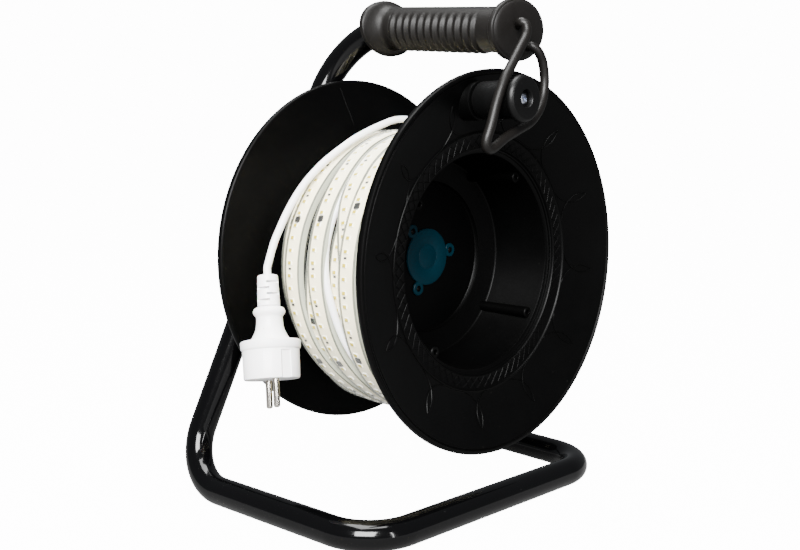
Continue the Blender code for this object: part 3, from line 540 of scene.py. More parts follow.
def soft_corners(outline, radius, steps=4):
    """Round every corner of an outline of (radius, along) that turns sharply."""
    rounded = [outline[0]]
    for before, corner, after in zip(outline[:-2], outline[1:-1], outline[2:]):
        back = Vector(before) - Vector(corner)
        ahead = Vector(after) - Vector(corner)
        reach = min(radius, 0.45 * back.length, 0.45 * ahead.length)
        if reach < 1e-6 or abs(math.pi - back.angle(ahead)) < math.radians(8.0):
            rounded.append(corner)
            continue
        start = Vector(corner) + back.normalized() * reach
        end = Vector(corner) + ahead.normalized() * reach
        for step in range(steps + 1):
            t = step / steps
            rounded.append(tuple((1 - t) ** 2 * start + 2 * t * (1 - t) * Vector(corner) + t * t * end))
    rounded.append(outline[-1])
    return rounded


def rounded_path(corners, radii, steps):
    """Points along straight runs joined by arcs of the given radii."""
    points = [Vector(corners[0])]
    for before, corner, after, radius in zip(corners[:-2], corners[1:-1], corners[2:], radii):
        corner = Vector(corner)
        back = (Vector(before) - corner).normalized()
        ahead = (Vector(after) - corner).normalized()
        half_angle = 0.5 * back.angle(ahead)
        centre = corner + (back + ahead).normalized() * (radius / math.sin(half_angle))
        start = corner + back * (radius / math.tan(half_angle)) - centre
        turn = math.pi - 2.0 * half_angle
        for step in range(steps + 1):
            swing = Matrix.Rotation(-turn * step / steps, 3, back.cross(ahead))
            points.append(centre + swing @ start)
    points.append(Vector(corners[-1]))
    return points


def smooth_route(route, steps):
    """Points of a Catmull-Rom curve through a route, with the given steps between its points."""
    places = [Vector(point) for point in route]
    places = [2.0 * places[0] - places[1]] + places + [2.0 * places[-1] - places[-2]]
    points = []
    for p0, p1, p2, p3 in zip(places, places[1:], places[2:], places[3:]):
        for step in range(steps):
            t = step / steps
            bend = (2.0 * p0 - 5.0 * p1 + 4.0 * p2 - p3) * t * t
            twist = (3.0 * p1 - p0 - 3.0 * p2 + p3) * t ** 3
            points.append(0.5 * (2.0 * p1 + (p2 - p0) * t + bend + twist))
    points.append(places[-2])
    return points


def even_route(points, spacing):
    """The same line with its points at an even spacing."""
    total = sum((b - a).length for a, b in zip(points, points[1:]))
    count = max(2, round(total / spacing))
    wanted = [total * index / count for index in range(1, count)]
    even = [points[0]]
    travelled = 0.0
    for first, second in zip(points, points[1:]):
        length = (second - first).length
        while wanted and wanted[0] <= travelled + length:
            even.append(first.lerp(second, (wanted.pop(0) - travelled) / length))
        travelled += length
    even.append(points[-1])
    return even


def carried_frames(points):
    """Tangent and carried side direction at each point, with no twist along the line."""
    tangents = []
    for index in range(len(points)):
        ahead = points[min(index + 1, len(points) - 1)] - points[index]
        behind = points[index] - points[max(index - 1, 0)]
        tangents.append((ahead.normalized() + behind.normalized()).normalized())
    side = tangents[0].orthogonal().normalized()
    sides = [side]
    for first, second in zip(tangents, tangents[1:]):
        side = first.rotation_difference(second) @ side
        side = (side - second * side.dot(second)).normalized()
        sides.append(side)
    return tangents, sides


def swept(name, points, radii, sides):
    """A round bar, or a pipe where two radii are given, along the points, closed at its ends."""
    tangents, carried = carried_frames(points)
    turns = [2.0 * math.pi * index / sides for index in range(sides)]
    shape = bmesh.new()
    shells = []
    for radius in radii:
        shell = []
        for point, tangent, side in zip(points, tangents, carried):
            other = tangent.cross(side)
            shell.append([shape.verts.new(point + radius * (math.cos(turn) * side + math.sin(turn) * other))
                          for turn in turns])
        for first, second in zip(shell, shell[1:]):
            join_rings(shape, first, second)
        shells.append(shell)
    for end in (0, -1):
        if len(shells) == 2:
            join_rings(shape, shells[0][end], shells[1][end])
        else:
            close_ring(shape, shells[0][end], points[end])
    return finished_mesh(shape, name)


def section_swept(name, frames, section, sharp=35.0):
    """A bar with the given closed section of (across, up), along frames of (place, across, up)."""
    shape = bmesh.new()
    rings = []
    for place, across, up in frames:
        rings.append([shape.verts.new(place + across * s + up * t) for s, t in section])
    for first, second in zip(rings, rings[1:]):
        join_rings(shape, first, second)
    shape.faces.new(rings[0])
    shape.faces.new(rings[-1])
    return finished_mesh(shape, name, sharp)


def block_mesh(name, width, length, height, taper):
    """A small moulded block on the plane z = 0, narrower at its top."""
    shape = bmesh.new()
    rings = []
    for share, z in ((1.0, 0.0), (1.0, 0.6 * height), (1.0 - taper, height)):
        x = 0.5 * width * share
        y = 0.5 * length * share
        corners = ((-x, -y, z), (x, -y, z), (x, y, z), (-x, y, z))
        rings.append([shape.verts.new(corner) for corner in corners])
    for first, second in zip(rings, rings[1:]):
        join_rings(shape, first, second)
    shape.faces.new(rings[0])
    shape.faces.new(rings[-1])
    return finished_mesh(shape, name, 30.0)


def merged(name, parts):
    """One mesh from several."""
    shape = bmesh.new()
    for part in parts:
        shape.from_mesh(part)
    return plain_mesh(shape, name)


def mirrored(mesh):
    """The same mesh for the rear half, turned over about the drum's middle."""
    shape = bmesh.new()
    shape.from_mesh(mesh)
    turn = Matrix.Translation((0.0, DRUM_DEPTH, 0.0)) @ Matrix.Rotation(math.pi, 4, "X")
    bmesh.ops.transform(shape, matrix=turn, verts=shape.verts)
    return plain_mesh(shape, mesh.name + "_rear")


def evaluated_mesh(item):
    """The plain mesh that an object's modifiers make; the object is taken away."""
    graph = bpy.context.evaluated_depsgraph_get()
    mesh = bpy.data.meshes.new_from_object(item.evaluated_get(graph), depsgraph=graph)
    bpy.data.objects.remove(item)
    return mesh


def cut(mesh, cutters, operation="DIFFERENCE"):
    """The mesh with other meshes cut out of it or added to it."""
    target = new_object("cut_target", mesh)
    tools = []
    for index, cutter in enumerate(cutters):
        tool = new_object(f"cutter_{index}", cutter)
        step = target.modifiers.new(tool.name, "BOOLEAN")
        step.operation = operation
        step.object = tool
        step.solver = "EXACT"
        tools.append(tool)
    made = evaluated_mesh(target)
    for tool in tools:
        bpy.data.objects.remove(tool)
    return smoothed(made, 35.0)


def along_axis(start, direction):
    """A matrix that takes +Y at the origin to a line from start along direction."""
    turn = Vector((0.0, 1.0, 0.0)).rotation_difference(Vector(direction).normalized())
    return Matrix.Translation(Vector(start)) @ turn.to_matrix().to_4x4()


def settle(name, mesh, material, body, node):
    """Put a finished mesh in its place as a named piece that stands for its solid."""
    mesh.transform(Matrix.Translation(DRUM_AT))
    mesh.materials.clear()
    mesh.materials.append(material)
    for face in mesh.polygons:
        face.material_index = 0
    made = new_object(name, mesh)
    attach(made, body)
    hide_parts(node)
    return made


# Geometry Nodes trees
def round_axis_tree():
    """Repeats a shape at even angles round the Y axis."""
    inputs = [
        ("Shape", "NodeSocketGeometry", None), ("Count", "NodeSocketInt", 12),
        ("First Angle", "NodeSocketFloat", 0.0), ("Finish", "NodeSocketMaterial", None),
    ]
    outputs = [("Shape", "NodeSocketGeometry")]
    tree, start, end = new_tree("repeat_round_axis", "GeometryNodeTree", inputs, outputs)
    line = tree.nodes.new("GeometryNodeMeshLine")
    line.inputs["Offset"].default_value = (0.0, 0.0, 0.0)
    tree.links.new(start.outputs["Count"], line.inputs["Count"])
    index = tree.nodes.new("GeometryNodeInputIndex")
    step = math_node(tree, "DIVIDE", 2.0 * math.pi, start.outputs["Count"])
    angle = math_node(tree, "MULTIPLY", index.outputs[0], step)
    angle = math_node(tree, "ADD", angle, start.outputs["First Angle"])
    angle = math_node(tree, "MULTIPLY", angle, -1.0)
    turn = tree.nodes.new("ShaderNodeCombineXYZ")
    tree.links.new(angle, turn.inputs["Y"])
    copies = tree.nodes.new("GeometryNodeInstanceOnPoints")
    tree.links.new(line.outputs[0], copies.inputs["Points"])
    tree.links.new(start.outputs["Shape"], copies.inputs["Instance"])
    tree.links.new(turn.outputs[0], copies.inputs["Rotation"])
    end_tree(tree, start, end, copies)
    return tree


def row_tree():
    """Sets a part on every point of a row, turned as the point's own attribute says."""
    inputs = [
        ("Row", "NodeSocketGeometry", None), ("Part", "NodeSocketObject", None),
        ("Finish", "NodeSocketMaterial", None),
    ]
    outputs = [("Shape", "NodeSocketGeometry")]
    tree, start, end = new_tree("row_of_parts", "GeometryNodeTree", inputs, outputs)
    part = tree.nodes.new("GeometryNodeObjectInfo")
    tree.links.new(start.outputs["Part"], part.inputs["Object"])
    turn = tree.nodes.new("GeometryNodeInputNamedAttribute")
    turn.data_type = "FLOAT_VECTOR"
    turn.inputs["Name"].default_value = "turn"
    copies = tree.nodes.new("GeometryNodeInstanceOnPoints")
    tree.links.new(start.outputs["Row"], copies.inputs["Points"])
    tree.links.new(part.outputs["Geometry"], copies.inputs["Instance"])
    tree.links.new(turn.outputs["Attribute"], copies.inputs["Rotation"])
    end_tree(tree, start, end, copies)
    return tree


def end_tree(tree, start, end, copies):
    """Close a tree with real geometry and its finish."""
    real = tree.nodes.new("GeometryNodeRealizeInstances")
    tree.links.new(copies.outputs["Instances"], real.inputs["Geometry"])
    coat = tree.nodes.new("GeometryNodeSetMaterial")
    tree.links.new(real.outputs["Geometry"], coat.inputs["Geometry"])
    tree.links.new(start.outputs["Finish"], coat.inputs["Material"])
    tree.links.new(coat.outputs["Geometry"], end.inputs["Shape"])


def grown(source, tree, values):
    """The plain mesh that a node tree makes from a source mesh."""
    holder = new_object(tree.name, source)
    step = holder.modifiers.new(tree.name, "NODES")
    step.node_group = tree
    for item in tree.interface.items_tree:
        if item.item_type == "SOCKET" and item.in_out == "INPUT" and item.name in values:
            step[item.identifier] = values[item.name]
    return smoothed(evaluated_mesh(holder))


# Supply lead and plug
def white_finish(name, roughness, bump):
    """White plastic of the lead and plug."""
    return finish(name, colours().lead, roughness, drift=0.03, tone_scale=60.0, spread=0.05,
                  fine=1500.0, coarse=90.0, bump=bump, specks=(260.0, 0.09, 0.06),
                  speck_colour=(0.45, 0.42, 0.38), subsurface=0.08)


def lead_points():
    """The lead's line from the winding over its top and down into the strain relief."""
    gap, straight_run, spacing = 0.0003, 0.0046, 0.0050
    end = PLUG_TOP - PLUG_DOWN * gap
    straight = end - PLUG_DOWN * straight_run
    return even_route(smooth_route(LEAD_ROUTE + [straight], 8), spacing) + [end]


def make_lead():
    """The hanging lead as one curve, with its strain relief, plug and pins."""
    points = [DRUM_AT + point for point in lead_points()]
    line = bpy.data.curves.new("supply_lead", "CURVE")
    line.dimensions = "3D"
    line.bevel_depth = 0.5 * LEAD_D
    line.bevel_resolution = 6
    line.use_fill_caps = True
    spline = line.splines.new("POLY")
    spline.points.add(len(points) - 1)
    for target, point in zip(spline.points, points):
        target.co = (*point, 1.0)
    spline.use_smooth = True
    line.materials.append(white_finish("white_pvc", 0.34, 0.00003))
    lead = new_object("supply_lead", line)
    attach(lead, "root")
    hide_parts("lead")
    pieces = make_plug()


def box_mesh(low, high):
    """A plain box between two corners, for a cutter."""
    shape = bmesh.new()
    bmesh.ops.create_cube(shape, size=1.0)
    for vertex in shape.verts:
        vertex.co = Vector([0.5 * (a + b) + c * (b - a) for a, b, c in zip(low, high, vertex.co)])
    return finished_mesh(shape, "box")


# Slots of the strain relief: (place along it, side that they open to), and how far they are turned
# about its axis, in degrees
RELIEF_SLOTS = ((0.0045, -1.0), (0.0082, 1.0), (0.0119, -1.0), (0.0156, 1.0))
SLOT_TURN = -132.0


def relief_mesh():
    """Strain relief with staggered slots on both sides."""
    outline = [(0.0, 0.0), (0.0057, 0.0), (0.0063, 0.0006), (0.0064, 0.0040), (0.0068, 0.0150),
               (0.0068, RELIEF_LENGTH), (0.0, RELIEF_LENGTH)]
    mesh = turned("strain_relief", soft_corners(outline, 0.0005), 64)
    turn = Matrix.Rotation(math.radians(SLOT_TURN), 4, "Y")
    outside, core, overlap, half_slot = 0.0090, 0.0018, 0.0009, 0.0007
    cutters = []
    for along, side in RELIEF_SLOTS:
        low, high = sorted((side * -overlap, side * outside))
        for near, far in ((core, outside), (-outside, -core)):
            cutter = box_mesh((low, along - half_slot, near), (high, along + half_slot, far))
            cutter.transform(turn)
            cutters.append(cutter)
    return cut(mesh, cutters)


# Outline of the plug from its ring down to its face, as (radius, along)
PLUG_OUTLINE = [
    (0.0, 0.0194), (0.0068, 0.0194), (0.0077, 0.0198), (0.0090, 0.0206), (0.0097, 0.0219),
    (0.0098, 0.0226), (0.0095, 0.0238), (0.0087, 0.0248), (0.0082, 0.0254), (0.0080, 0.0262),
    (0.0081, 0.0286), (0.0083, 0.0313), (0.0087, 0.0332), (0.0095, 0.0354), (0.0107, 0.0376),
    (0.0118, 0.0393), (0.0122, 0.0399), (0.0175, 0.0403), (0.0183, 0.0410), (0.0183, 0.0422),
    (0.0182, 0.0448), (0.0178, 0.0456), (0.0173, 0.0461), (INSERT_R, 0.0530), (0.0170, 0.0627),
    (0.0168, 0.0633), (0.0162, PLUG_FACE), (0.0, PLUG_FACE),
]

# Recesses of the plug's insert: (degrees round it, half width, depth, top)
PLUG_RECESSES = (
    (255.0, 0.0034, 0.0008, 0.0470), (244.6, 0.00035, 0.0030, 0.0470), (75.0, 0.0034, 0.0008, 0.0470),
    (64.6, 0.00035, 0.0030, 0.0470), (216.0, 0.00235, 0.00025, 0.0476),
)


def pin_places():
    """Centres of the two pins beside the plug's axis."""
    line = Matrix.Rotation(math.radians(PIN_LINE), 4, "Y")
    return [line @ Vector((0.5 * sign * PIN_SPREAD, 0.0, 0.0)) for sign in (-1.0, 1.0)]


def plug_mesh():
    """Round plug body with the recesses of its insert and a socket for each pin."""
    cutters = []
    past_side, past_face, gap = 0.0260, 0.0720, 0.0003
    for angle, half, depth, top in PLUG_RECESSES:
        cutter = box_mesh((INSERT_R - depth, top, -half), (past_side, past_face, half))
        cutter.transform(Matrix.Rotation(math.radians(-angle), 4, "Y"))
        cutters.append(cutter)
    for across in pin_places():
        cutters.append(moved(rod("socket", PIN_R + gap, SOCKET_FLOOR, PLUG_FACE + 0.0013, 40), across))
    return cut(turned("plug_body", PLUG_OUTLINE, 128, sharp=50.0), cutters)


def pin_mesh():
    """One round pin with a domed tip."""
    root, tip = SOCKET_FLOOR + 0.0003, 0.0808
    outline = [(0.0, root), (PIN_R, root), (PIN_R, tip - 0.0015), (0.00185, tip - 0.0008),
               (0.0014, tip - 0.0003), (0.0008, tip - 0.00005), (0.0, tip)]
    return turned("pin", outline, 40)


def make_plug():
    """Strain relief, round plug body and its two pins, hanging on the lead."""
    place = along_axis(PLUG_TOP, PLUG_DOWN)
    white = white_finish("plug_white", 0.36, 0.00004)
    metal = finish("nickel", (0.60, 0.56, 0.50), 0.20, drift=0.08, tone_scale=200.0, spread=0.08,
                   gloss_scale=300.0, fine=2500.0, bump=0.00001, metallic=1.0)
    shapes = [
        ("lead_strain_relief", relief_mesh(), white, "plug_white", "strain_relief"),
        ("plug_housing", plug_mesh(), white, "plug_white", "plug_body"),
    ]
    for index, across in enumerate(pin_places(), 1):
        pin = moved(pin_mesh(), across)
        shapes.append((f"plug_contact_{index}", pin, metal, "nickel", f"plug_pin_{index}"))
    pieces = []
    for name, mesh, material, slot, node in shapes:
        mesh.transform(place)
        pieces.append(settle(name, mesh, material, "root", node))
    return pieces


# Stand, grip and loop
def stand_line(steps=24):
    """Points along the stand tube's centre line."""
    return rounded_path(STAND_CORNERS, [TOP_BEND_R] + [BEND_R] * 5, steps)


def make_stand():
    """One bent steel tube with glossy paint."""
    paint = finish("stand_paint", colours().paint, 0.13, drift=0.10, tone_scale=18.0, spread=0.05,
                   gloss_scale=60.0, fine=500.0, coarse=110.0, fine_share=0.25, bump=0.00008,
                   specks=(300.0, 0.14, 0.05), speck_colour=(0.006, 0.006, 0.006), coat=0.22,
                   coat_roughness=0.04, specular=0.15)
    mesh = swept("stand", stand_line(), (TUBE_R, TUBE_R - TUBE_WALL), 64)
    settle("stand", mesh, paint, "root", "stand_tube")


def grip_place(distance, line):
    """Where the grip's centre line is at a distance from its face: on the tube, bend and all."""
    for first, second in zip(line, line[1:]):
        length = (second - first).length
        if distance <= length:
            return first.lerp(second, distance / length), (second - first).normalized()
        distance -= length
    return line[-1], (line[-1] - line[-2]).normalized()


def grip_radius(along):
    """Radius of the grip without its ribs: a disc at each end with a hollow flare behind it."""
    near = min(along, GRIP_LENGTH - along)
    edge, bevel, drop = 0.0012, 0.0008, 0.0009
    if near < edge:
        return GRIP_GUARD_R - edge + math.sqrt(max(0.0, edge ** 2 - (edge - near) ** 2))
    if near < GRIP_GUARD_THICKNESS - bevel:
        return GRIP_GUARD_R
    if near < GRIP_GUARD_THICKNESS:
        return GRIP_GUARD_R - drop * ((near - GRIP_GUARD_THICKNESS + bevel) / bevel) ** 2
    if near < GRIP_GUARD_THICKNESS + GRIP_FLARE:
        t = (near - GRIP_GUARD_THICKNESS) / GRIP_FLARE
        return GRIP_BODY_R + (GRIP_GUARD_R - drop - GRIP_BODY_R) * (1.0 - t) ** 2.6
    return GRIP_BODY_R


def grip_relief(along, angle):
    """Finger ribs under the grip and up its sides, which fade to plain rubber at its top."""
    turn = (along - GRIP_FIRST_RIB) / GRIP_RIB_PITCH
    if turn < -0.5 or turn > sizes().grip_ribs - 0.5:
        return 0.0
    fade_end, fade_span, groove_depth = 0.70, 0.50, 0.85
    fade = min(1.0, max(0.0, (fade_end - math.sin(angle)) / fade_span))
    fade = fade * fade * (3.0 - 2.0 * fade)
    wave = math.cos(2.0 * math.pi * turn)
    return sizes().grip_rib_height * fade * (wave if wave > 0.0 else groove_depth * wave)


def grip_stops():
    """Distances from the grip's face to its outer rings, close together at both ends."""
    stops = [0.0, 0.0001, 0.0004, 0.0008, 0.0012, 0.0024, 0.0034, 0.0038, GRIP_GUARD_THICKNESS]
    stops += [GRIP_GUARD_THICKNESS + GRIP_FLARE * (index + 1) / 10 for index in range(10)]
    ends = [GRIP_LENGTH - value for value in reversed(stops)]
    count = 240
    span = ends[0] - stops[-1]
    return stops + [stops[-1] + span * index / count for index in range(1, count)] + ends


def grip_ring(shape, line, along, angles, radii, wide=1.0):
    """A ring round the grip's centre line with the given radii, its width stretched."""
    place, ahead = grip_place(along, line)
    up = Vector((1.0, 0.0, 0.0)).cross(ahead)
    ring = []
    for angle, radius in zip(angles, radii):
        reach = Vector((wide * math.cos(angle), 0.0, 0.0)) + up * math.sin(angle)
        ring.append(shape.verts.new(place + radius * reach))
    return ring


def grip_mesh():
    """The grip as one closed rubber body, blind at the front and open on the tube."""
    line = [GRIP_FRONT] + stand_line()
    angles = [2.0 * math.pi * side / GRIP_SIDES for side in range(GRIP_SIDES)]
    shape = bmesh.new()
    rings = []
    for along in grip_stops():
        plain = grip_radius(along)
        oval = min(1.0, max(0.0, (plain - GRIP_BODY_R) / GRIP_OVAL_RISE))
        radii = [plain + grip_relief(along, angle) for angle in angles]
        rings.append(grip_ring(shape, line, along, angles, radii, 1.0 + GRIP_GUARD_WIDENING * oval))
    bore = TUBE_R + 0.0004
    for along in (GRIP_LENGTH, GRIP_LENGTH - 0.02, GRIP_LENGTH - 0.04, 0.06, GRIP_BORE_END):
        rings.append(grip_ring(shape, line, along, angles, [bore] * GRIP_SIDES))
    for first, second in zip(rings, rings[1:]):
        join_rings(shape, first, second)
    front = rings[0]
    for share in (0.97, 0.92, 0.84, 0.72, 0.56, 0.38, 0.2):
        centre = GRIP_FRONT - GRIP_AXIS * (GRIP_DOME * math.sqrt(1.0 - share * share))
        ring = [shape.verts.new(centre + (vertex.co - GRIP_FRONT) * share) for vertex in rings[0]]
        join_rings(shape, ring, front)
        front = ring
    close_ring(shape, front, GRIP_FRONT - GRIP_AXIS * GRIP_DOME)
    close_ring(shape, rings[-1], grip_place(GRIP_BORE_END, line)[0])
    return finished_mesh(shape, "grip_cover")


def rubber_finish(name, fine, bump, roughness):
    """Matt rubber with rubbed patches."""
    return finish(name, colours().rubber, roughness, drift=0.30, tone_scale=60.0, spread=0.12,
                  gloss_scale=90.0, fine=fine, coarse=140.0, fine_share=0.6, bump=bump,
                  specks=(420.0, 0.16, 0.10), speck_colour=(0.008, 0.007, 0.006), specular=0.16)


def make_grip():
    """Rubber grip over the tube's end, with two sockets for the loop in its face."""
    holes = []
    past_face, depth, gap = 0.012, 0.005, 0.0002
    for end in (LOOP_ROUTE[0], LOOP_ROUTE[-1]):
        hole = rod("socket", LOOP_R + gap, -past_face, depth, 40)
        hole.transform(along_axis(end, GRIP_AXIS))
        holes.append(hole)
    rubber = rubber_finish("grip_rubber", 1100.0, 0.00012, 0.50)
    settle("grip_cover", cut(grip_mesh(), holes), rubber, "root", "grip")


def make_loop():
    """Rubber loop from one socket in the grip's face round the knob to the other."""
    end_depth = 0.0047
    inward = GRIP_AXIS * end_depth
    points = smooth_route(LOOP_ROUTE, 8)
    points = [points[0] + inward] + points + [points[-1] + inward]
    rubber = rubber_finish("loop_rubber", 900.0, 0.00008, 0.42)
    mesh = swept("knob_loop", points, (LOOP_R,), 28)
    settle("knob_loop", mesh, rubber, "root", "retaining_loop")


# Drum
def dish_face(radius):
    """How far behind the rim plane the flange's dished face lies at a radius."""
    inner, outer = DISH_R + MOUTH_EDGE, FLANGE_R - RIM_BEAD
    drop_at_rim, rise_at_mouth = 0.0006, 0.0005
    share = min(1.0, max(0.0, (outer - radius) / (outer - inner)))
    return drop_at_rim + share * (DISH_DEPTH - rise_at_mouth - drop_at_rim)


def dish_back(radius):
    """How far behind the rim plane the flange's back face lies at a radius."""
    outer = FLANGE_R - RIM_BACK_INSET
    share = min(1.0, max(0.0, (outer - radius) / (outer - DISH_R)))
    return RIM_THICKNESS + share * (DISH_DEPTH + WALL - RIM_THICKNESS)


def half_outline(hub_sleeve):
    """Closed outline of one drum half, its front at 0 and its web at the drum's middle."""
    web = HALF_DEPTH - 0.0018
    back = HALF_DEPTH - 0.00015
    bore = 0.00957
    sleeve_wall, sleeve_length = 0.0035, 0.0470
    outline = [
        (FLANGE_R, 0.0016), (FLANGE_R - 0.0004, 0.0005), (FLANGE_R - 0.0013, 0.0),
        (FLANGE_R - 0.0024, 0.0001), (FLANGE_R - 0.0032, 0.0010), (FLANGE_R - 0.0036, 0.0007),
        (DISH_R + MOUTH_EDGE, dish_face(DISH_R + MOUTH_EDGE)), (DISH_R + 0.0005, DISH_DEPTH - 0.0005),
        (DISH_R + 0.0002, DISH_DEPTH - 0.0010), (DISH_R - 0.0004, DISH_DEPTH - 0.0010),
        (DISH_R - 0.0007, DISH_DEPTH - 0.0001), (DISH_R - 0.0012, DISH_DEPTH + 0.0003),
        (0.0734, DISH_DEPTH + 0.0006), (0.0727, DISH_DEPTH + 0.0007), (0.0723, DISH_DEPTH + 0.0012),
        (0.0722, DISH_DEPTH + 0.0024), (0.0714, DISH_DEPTH + 0.0029), (0.0713, DISH_DEPTH + 0.0040),
        (0.0704, DISH_DEPTH + 0.0046), (0.0690, DISH_DEPTH + 0.0048), (0.0687, DISH_DEPTH + 0.0056),
        (0.0662, web - 0.0066), (0.0659, web - 0.0060), (0.0650, web - 0.0056), (0.0516, web - 0.0030),
        (0.0510, web - 0.0028), (0.0504, web - 0.0004), (0.0500, web),
    ]
    if hub_sleeve:
        outer = bore + sleeve_wall
        end = web - sleeve_length
        outline += [(outer + 0.0005, web), (outer, web - 0.0006), (outer, end + 0.0004),
                    (outer - 0.0004, end), (bore, end)]
    else:
        outline += [(0.0300, web), (bore, web)]
    return outline + [
        (bore, back), (0.0702, back), (0.0713, DISH_DEPTH + 0.0048), (0.0722, DISH_DEPTH + WALL + 0.0008),
        (DISH_R - 0.002, DISH_DEPTH + WALL + 0.0004), (DISH_R, DISH_DEPTH + WALL),
        (FLANGE_R - RIM_BACK_INSET, RIM_THICKNESS), (FLANGE_R - 0.0016, 0.0050), (FLANGE_R - 0.0005, 0.0046),
        (FLANGE_R, 0.0038),
    ]


def surface_rib(name, places, surface, width, height):
    """A thin raised line on the flange, through (radius, degrees) places."""
    points = []
    for radius, degrees in places:
        angle = math.radians(degrees)
        points.append(Vector((radius * math.cos(angle), surface(radius), radius * math.sin(angle))))
    points = smooth_route(points, 3)
    frames = []
    reach = 0.0005
    for index, point in enumerate(points):
        ahead = (points[min(index + 1, len(points) - 1)] - points[max(index - 1, 0)]).normalized()
        radius = math.hypot(point.x, point.z)
        slope = (surface(radius + reach) - surface(radius - reach)) / (2.0 * reach)
        out = Vector((point.x / radius, 0.0, point.z / radius))
        up = Vector((0.0, -1.0, 0.0)) + out * slope
        up = (up - ahead * up.dot(ahead)).normalized()
        frames.append((point, ahead.cross(up), up))
    half = 0.5 * width
    sunk = -0.00015
    section = [(-half, sunk), (-0.72 * half, 0.55 * height), (-0.3 * half, height), (0.3 * half, height),
               (0.72 * half, 0.55 * height), (half, sunk)]
    return section_swept(name, frames, section, 60.0)


# One side of a leaf motif and one line of the band, as (radius, degrees)
LEAF_SIDE = [
    (0.0823, 9.5), (0.0828, 7.2), (0.0841, 4.5), (0.0866, 1.9), (0.0896, 0.0), (0.0918, -0.65),
    (0.0945, -1.2), (0.0972, -1.35), (0.1002, -1.05), (0.1027, -0.55), (0.1047, 0.0),
]
BAND_LINE = [(0.0731, 0.0), (0.0755, 1.7), (0.0779, 3.4), (0.0803, 5.0)]


def both_ways(name, places, surface, width, height):
    """A raised line and its mirror image in one mesh."""
    return merged(name, [
        surface_rib("line", [(radius, sign * degrees) for radius, degrees in places], surface, width, height)
        for sign in (1.0, -1.0)])


def flange_relief(plastic):
    """Leaf motifs round the dished face and a band of crossed lines beside the mouth."""
    height = sizes().relief_height
    round_axis = shared_group("round_axis", round_axis_tree)
    leaf = both_ways("leaf", LEAF_SIDE, dish_face, 0.00065, height)
    band = both_ways("band", BAND_LINE, lambda radius: DISH_DEPTH + BAND_INSET, 0.0004, 0.5 * height)
    leaves = grown(leaf, round_axis, {
        "Count": sizes().flange_motifs, "First Angle": math.radians(23.5), "Finish": plastic})
    lines = grown(band, round_axis, {
        "Count": sizes().band_lines, "First Angle": 0.0, "Finish": plastic})
    return [leaves, lines]


def channel_mesh():
    """One round screw channel along the inside of the barrel, with its hole."""
    radius, start, end, from_axis = 0.0036, 0.0208, 0.0668, 0.0658
    outline = [(0.0, start + 0.010), (0.0016, start + 0.010), (0.0016, start + 0.0002), (0.0018, start),
               (radius - 0.0005, start), (radius, start + 0.0005), (radius, end), (0.0, end)]
    return moved(turned("channel", outline, 32), (from_axis, 0.0, 0.0))


def knob_boss():
    """Round boss under the crank knob; its foot follows the dished face and goes into it."""
    foot, root, sunk, spread = 0.0020, 0.0040, 0.0013, 1.06
    outline = [(0.0, -0.0010), (0.0028, -0.0012), (0.0032, -0.0020), (0.0107, -0.0020), (0.0113, -0.0017),
               (0.0115, -0.0010), (0.0115, foot), (0.0115, root), (0.0, root + 0.0001)]
    mesh = turned("boss", outline, 64)
    for vertex in mesh.vertices:
        if vertex.co.y < foot - 0.0005:
            continue
        face = dish_face(math.hypot(vertex.co.x + KNOB_AT.x, vertex.co.z + KNOB_AT.z))
        if vertex.co.y > root - 0.0005:
            vertex.co.x *= spread
            vertex.co.z *= spread
            face += sunk
        vertex.co.y = face
    return moved(mesh, KNOB_AT)


def lug_places():
    """Centres of the cap's lug holes."""
    turns = [math.radians(degrees) for degrees in (8.0, 128.0, 248.0)]
    return [Vector((LUG_FROM_AXIS * math.cos(turn), 0.0, LUG_FROM_AXIS * math.sin(turn))) for turn in turns]


def make_drum():
    """Both moulded drum halves, with their relief, channels, boss and pegs."""
    plastic = finish("drum_plastic", colours().drum, 0.40, drift=0.25, tone_scale=30.0, spread=0.10,
                     gloss_scale=35.0, fine=1300.0, coarse=60.0, fine_share=0.35, bump=0.00005,
                     specks=(190.0, 0.10, 0.10), speck_colour=(0.003, 0.003, 0.0027), specular=0.06)
    common = flange_relief(plastic)
    common.append(grown(channel_mesh(), shared_group("round_axis", round_axis_tree), {
        "Count": 4, "First Angle": math.radians(54.0), "Finish": plastic}))
    peg = [(0.0, 0.0640), (0.0012, 0.0641), (0.0018, 0.0646), (0.0018, 0.0668), (0.0, 0.0668)]
    pegs = [moved(turned("peg", peg, 28), place) for place in lug_places()]
    body = turned("half", half_outline(False), 192, closed=True, sharp=32.0)
    front = merged("front_half", [body, knob_boss()] + common + pegs)
    settle("front_half", front, plastic, "drum", "drum_front")
    sleeve = turned("half", half_outline(True), 192, closed=True, sharp=32.0)
    rear = mirrored(merged("rear_half", [sleeve] + common))
    line = surface_rib("moulding_line", [(0.0790, 98.6), (0.0930, 98.8), (0.1060, 98.9), (0.1150, 99.0)],
                       lambda radius: DRUM_DEPTH - dish_back(radius), 0.0004, 0.0002)
    settle("rear_half", merged("rear_half", [rear, line]), plastic, "drum", "drum_rear")


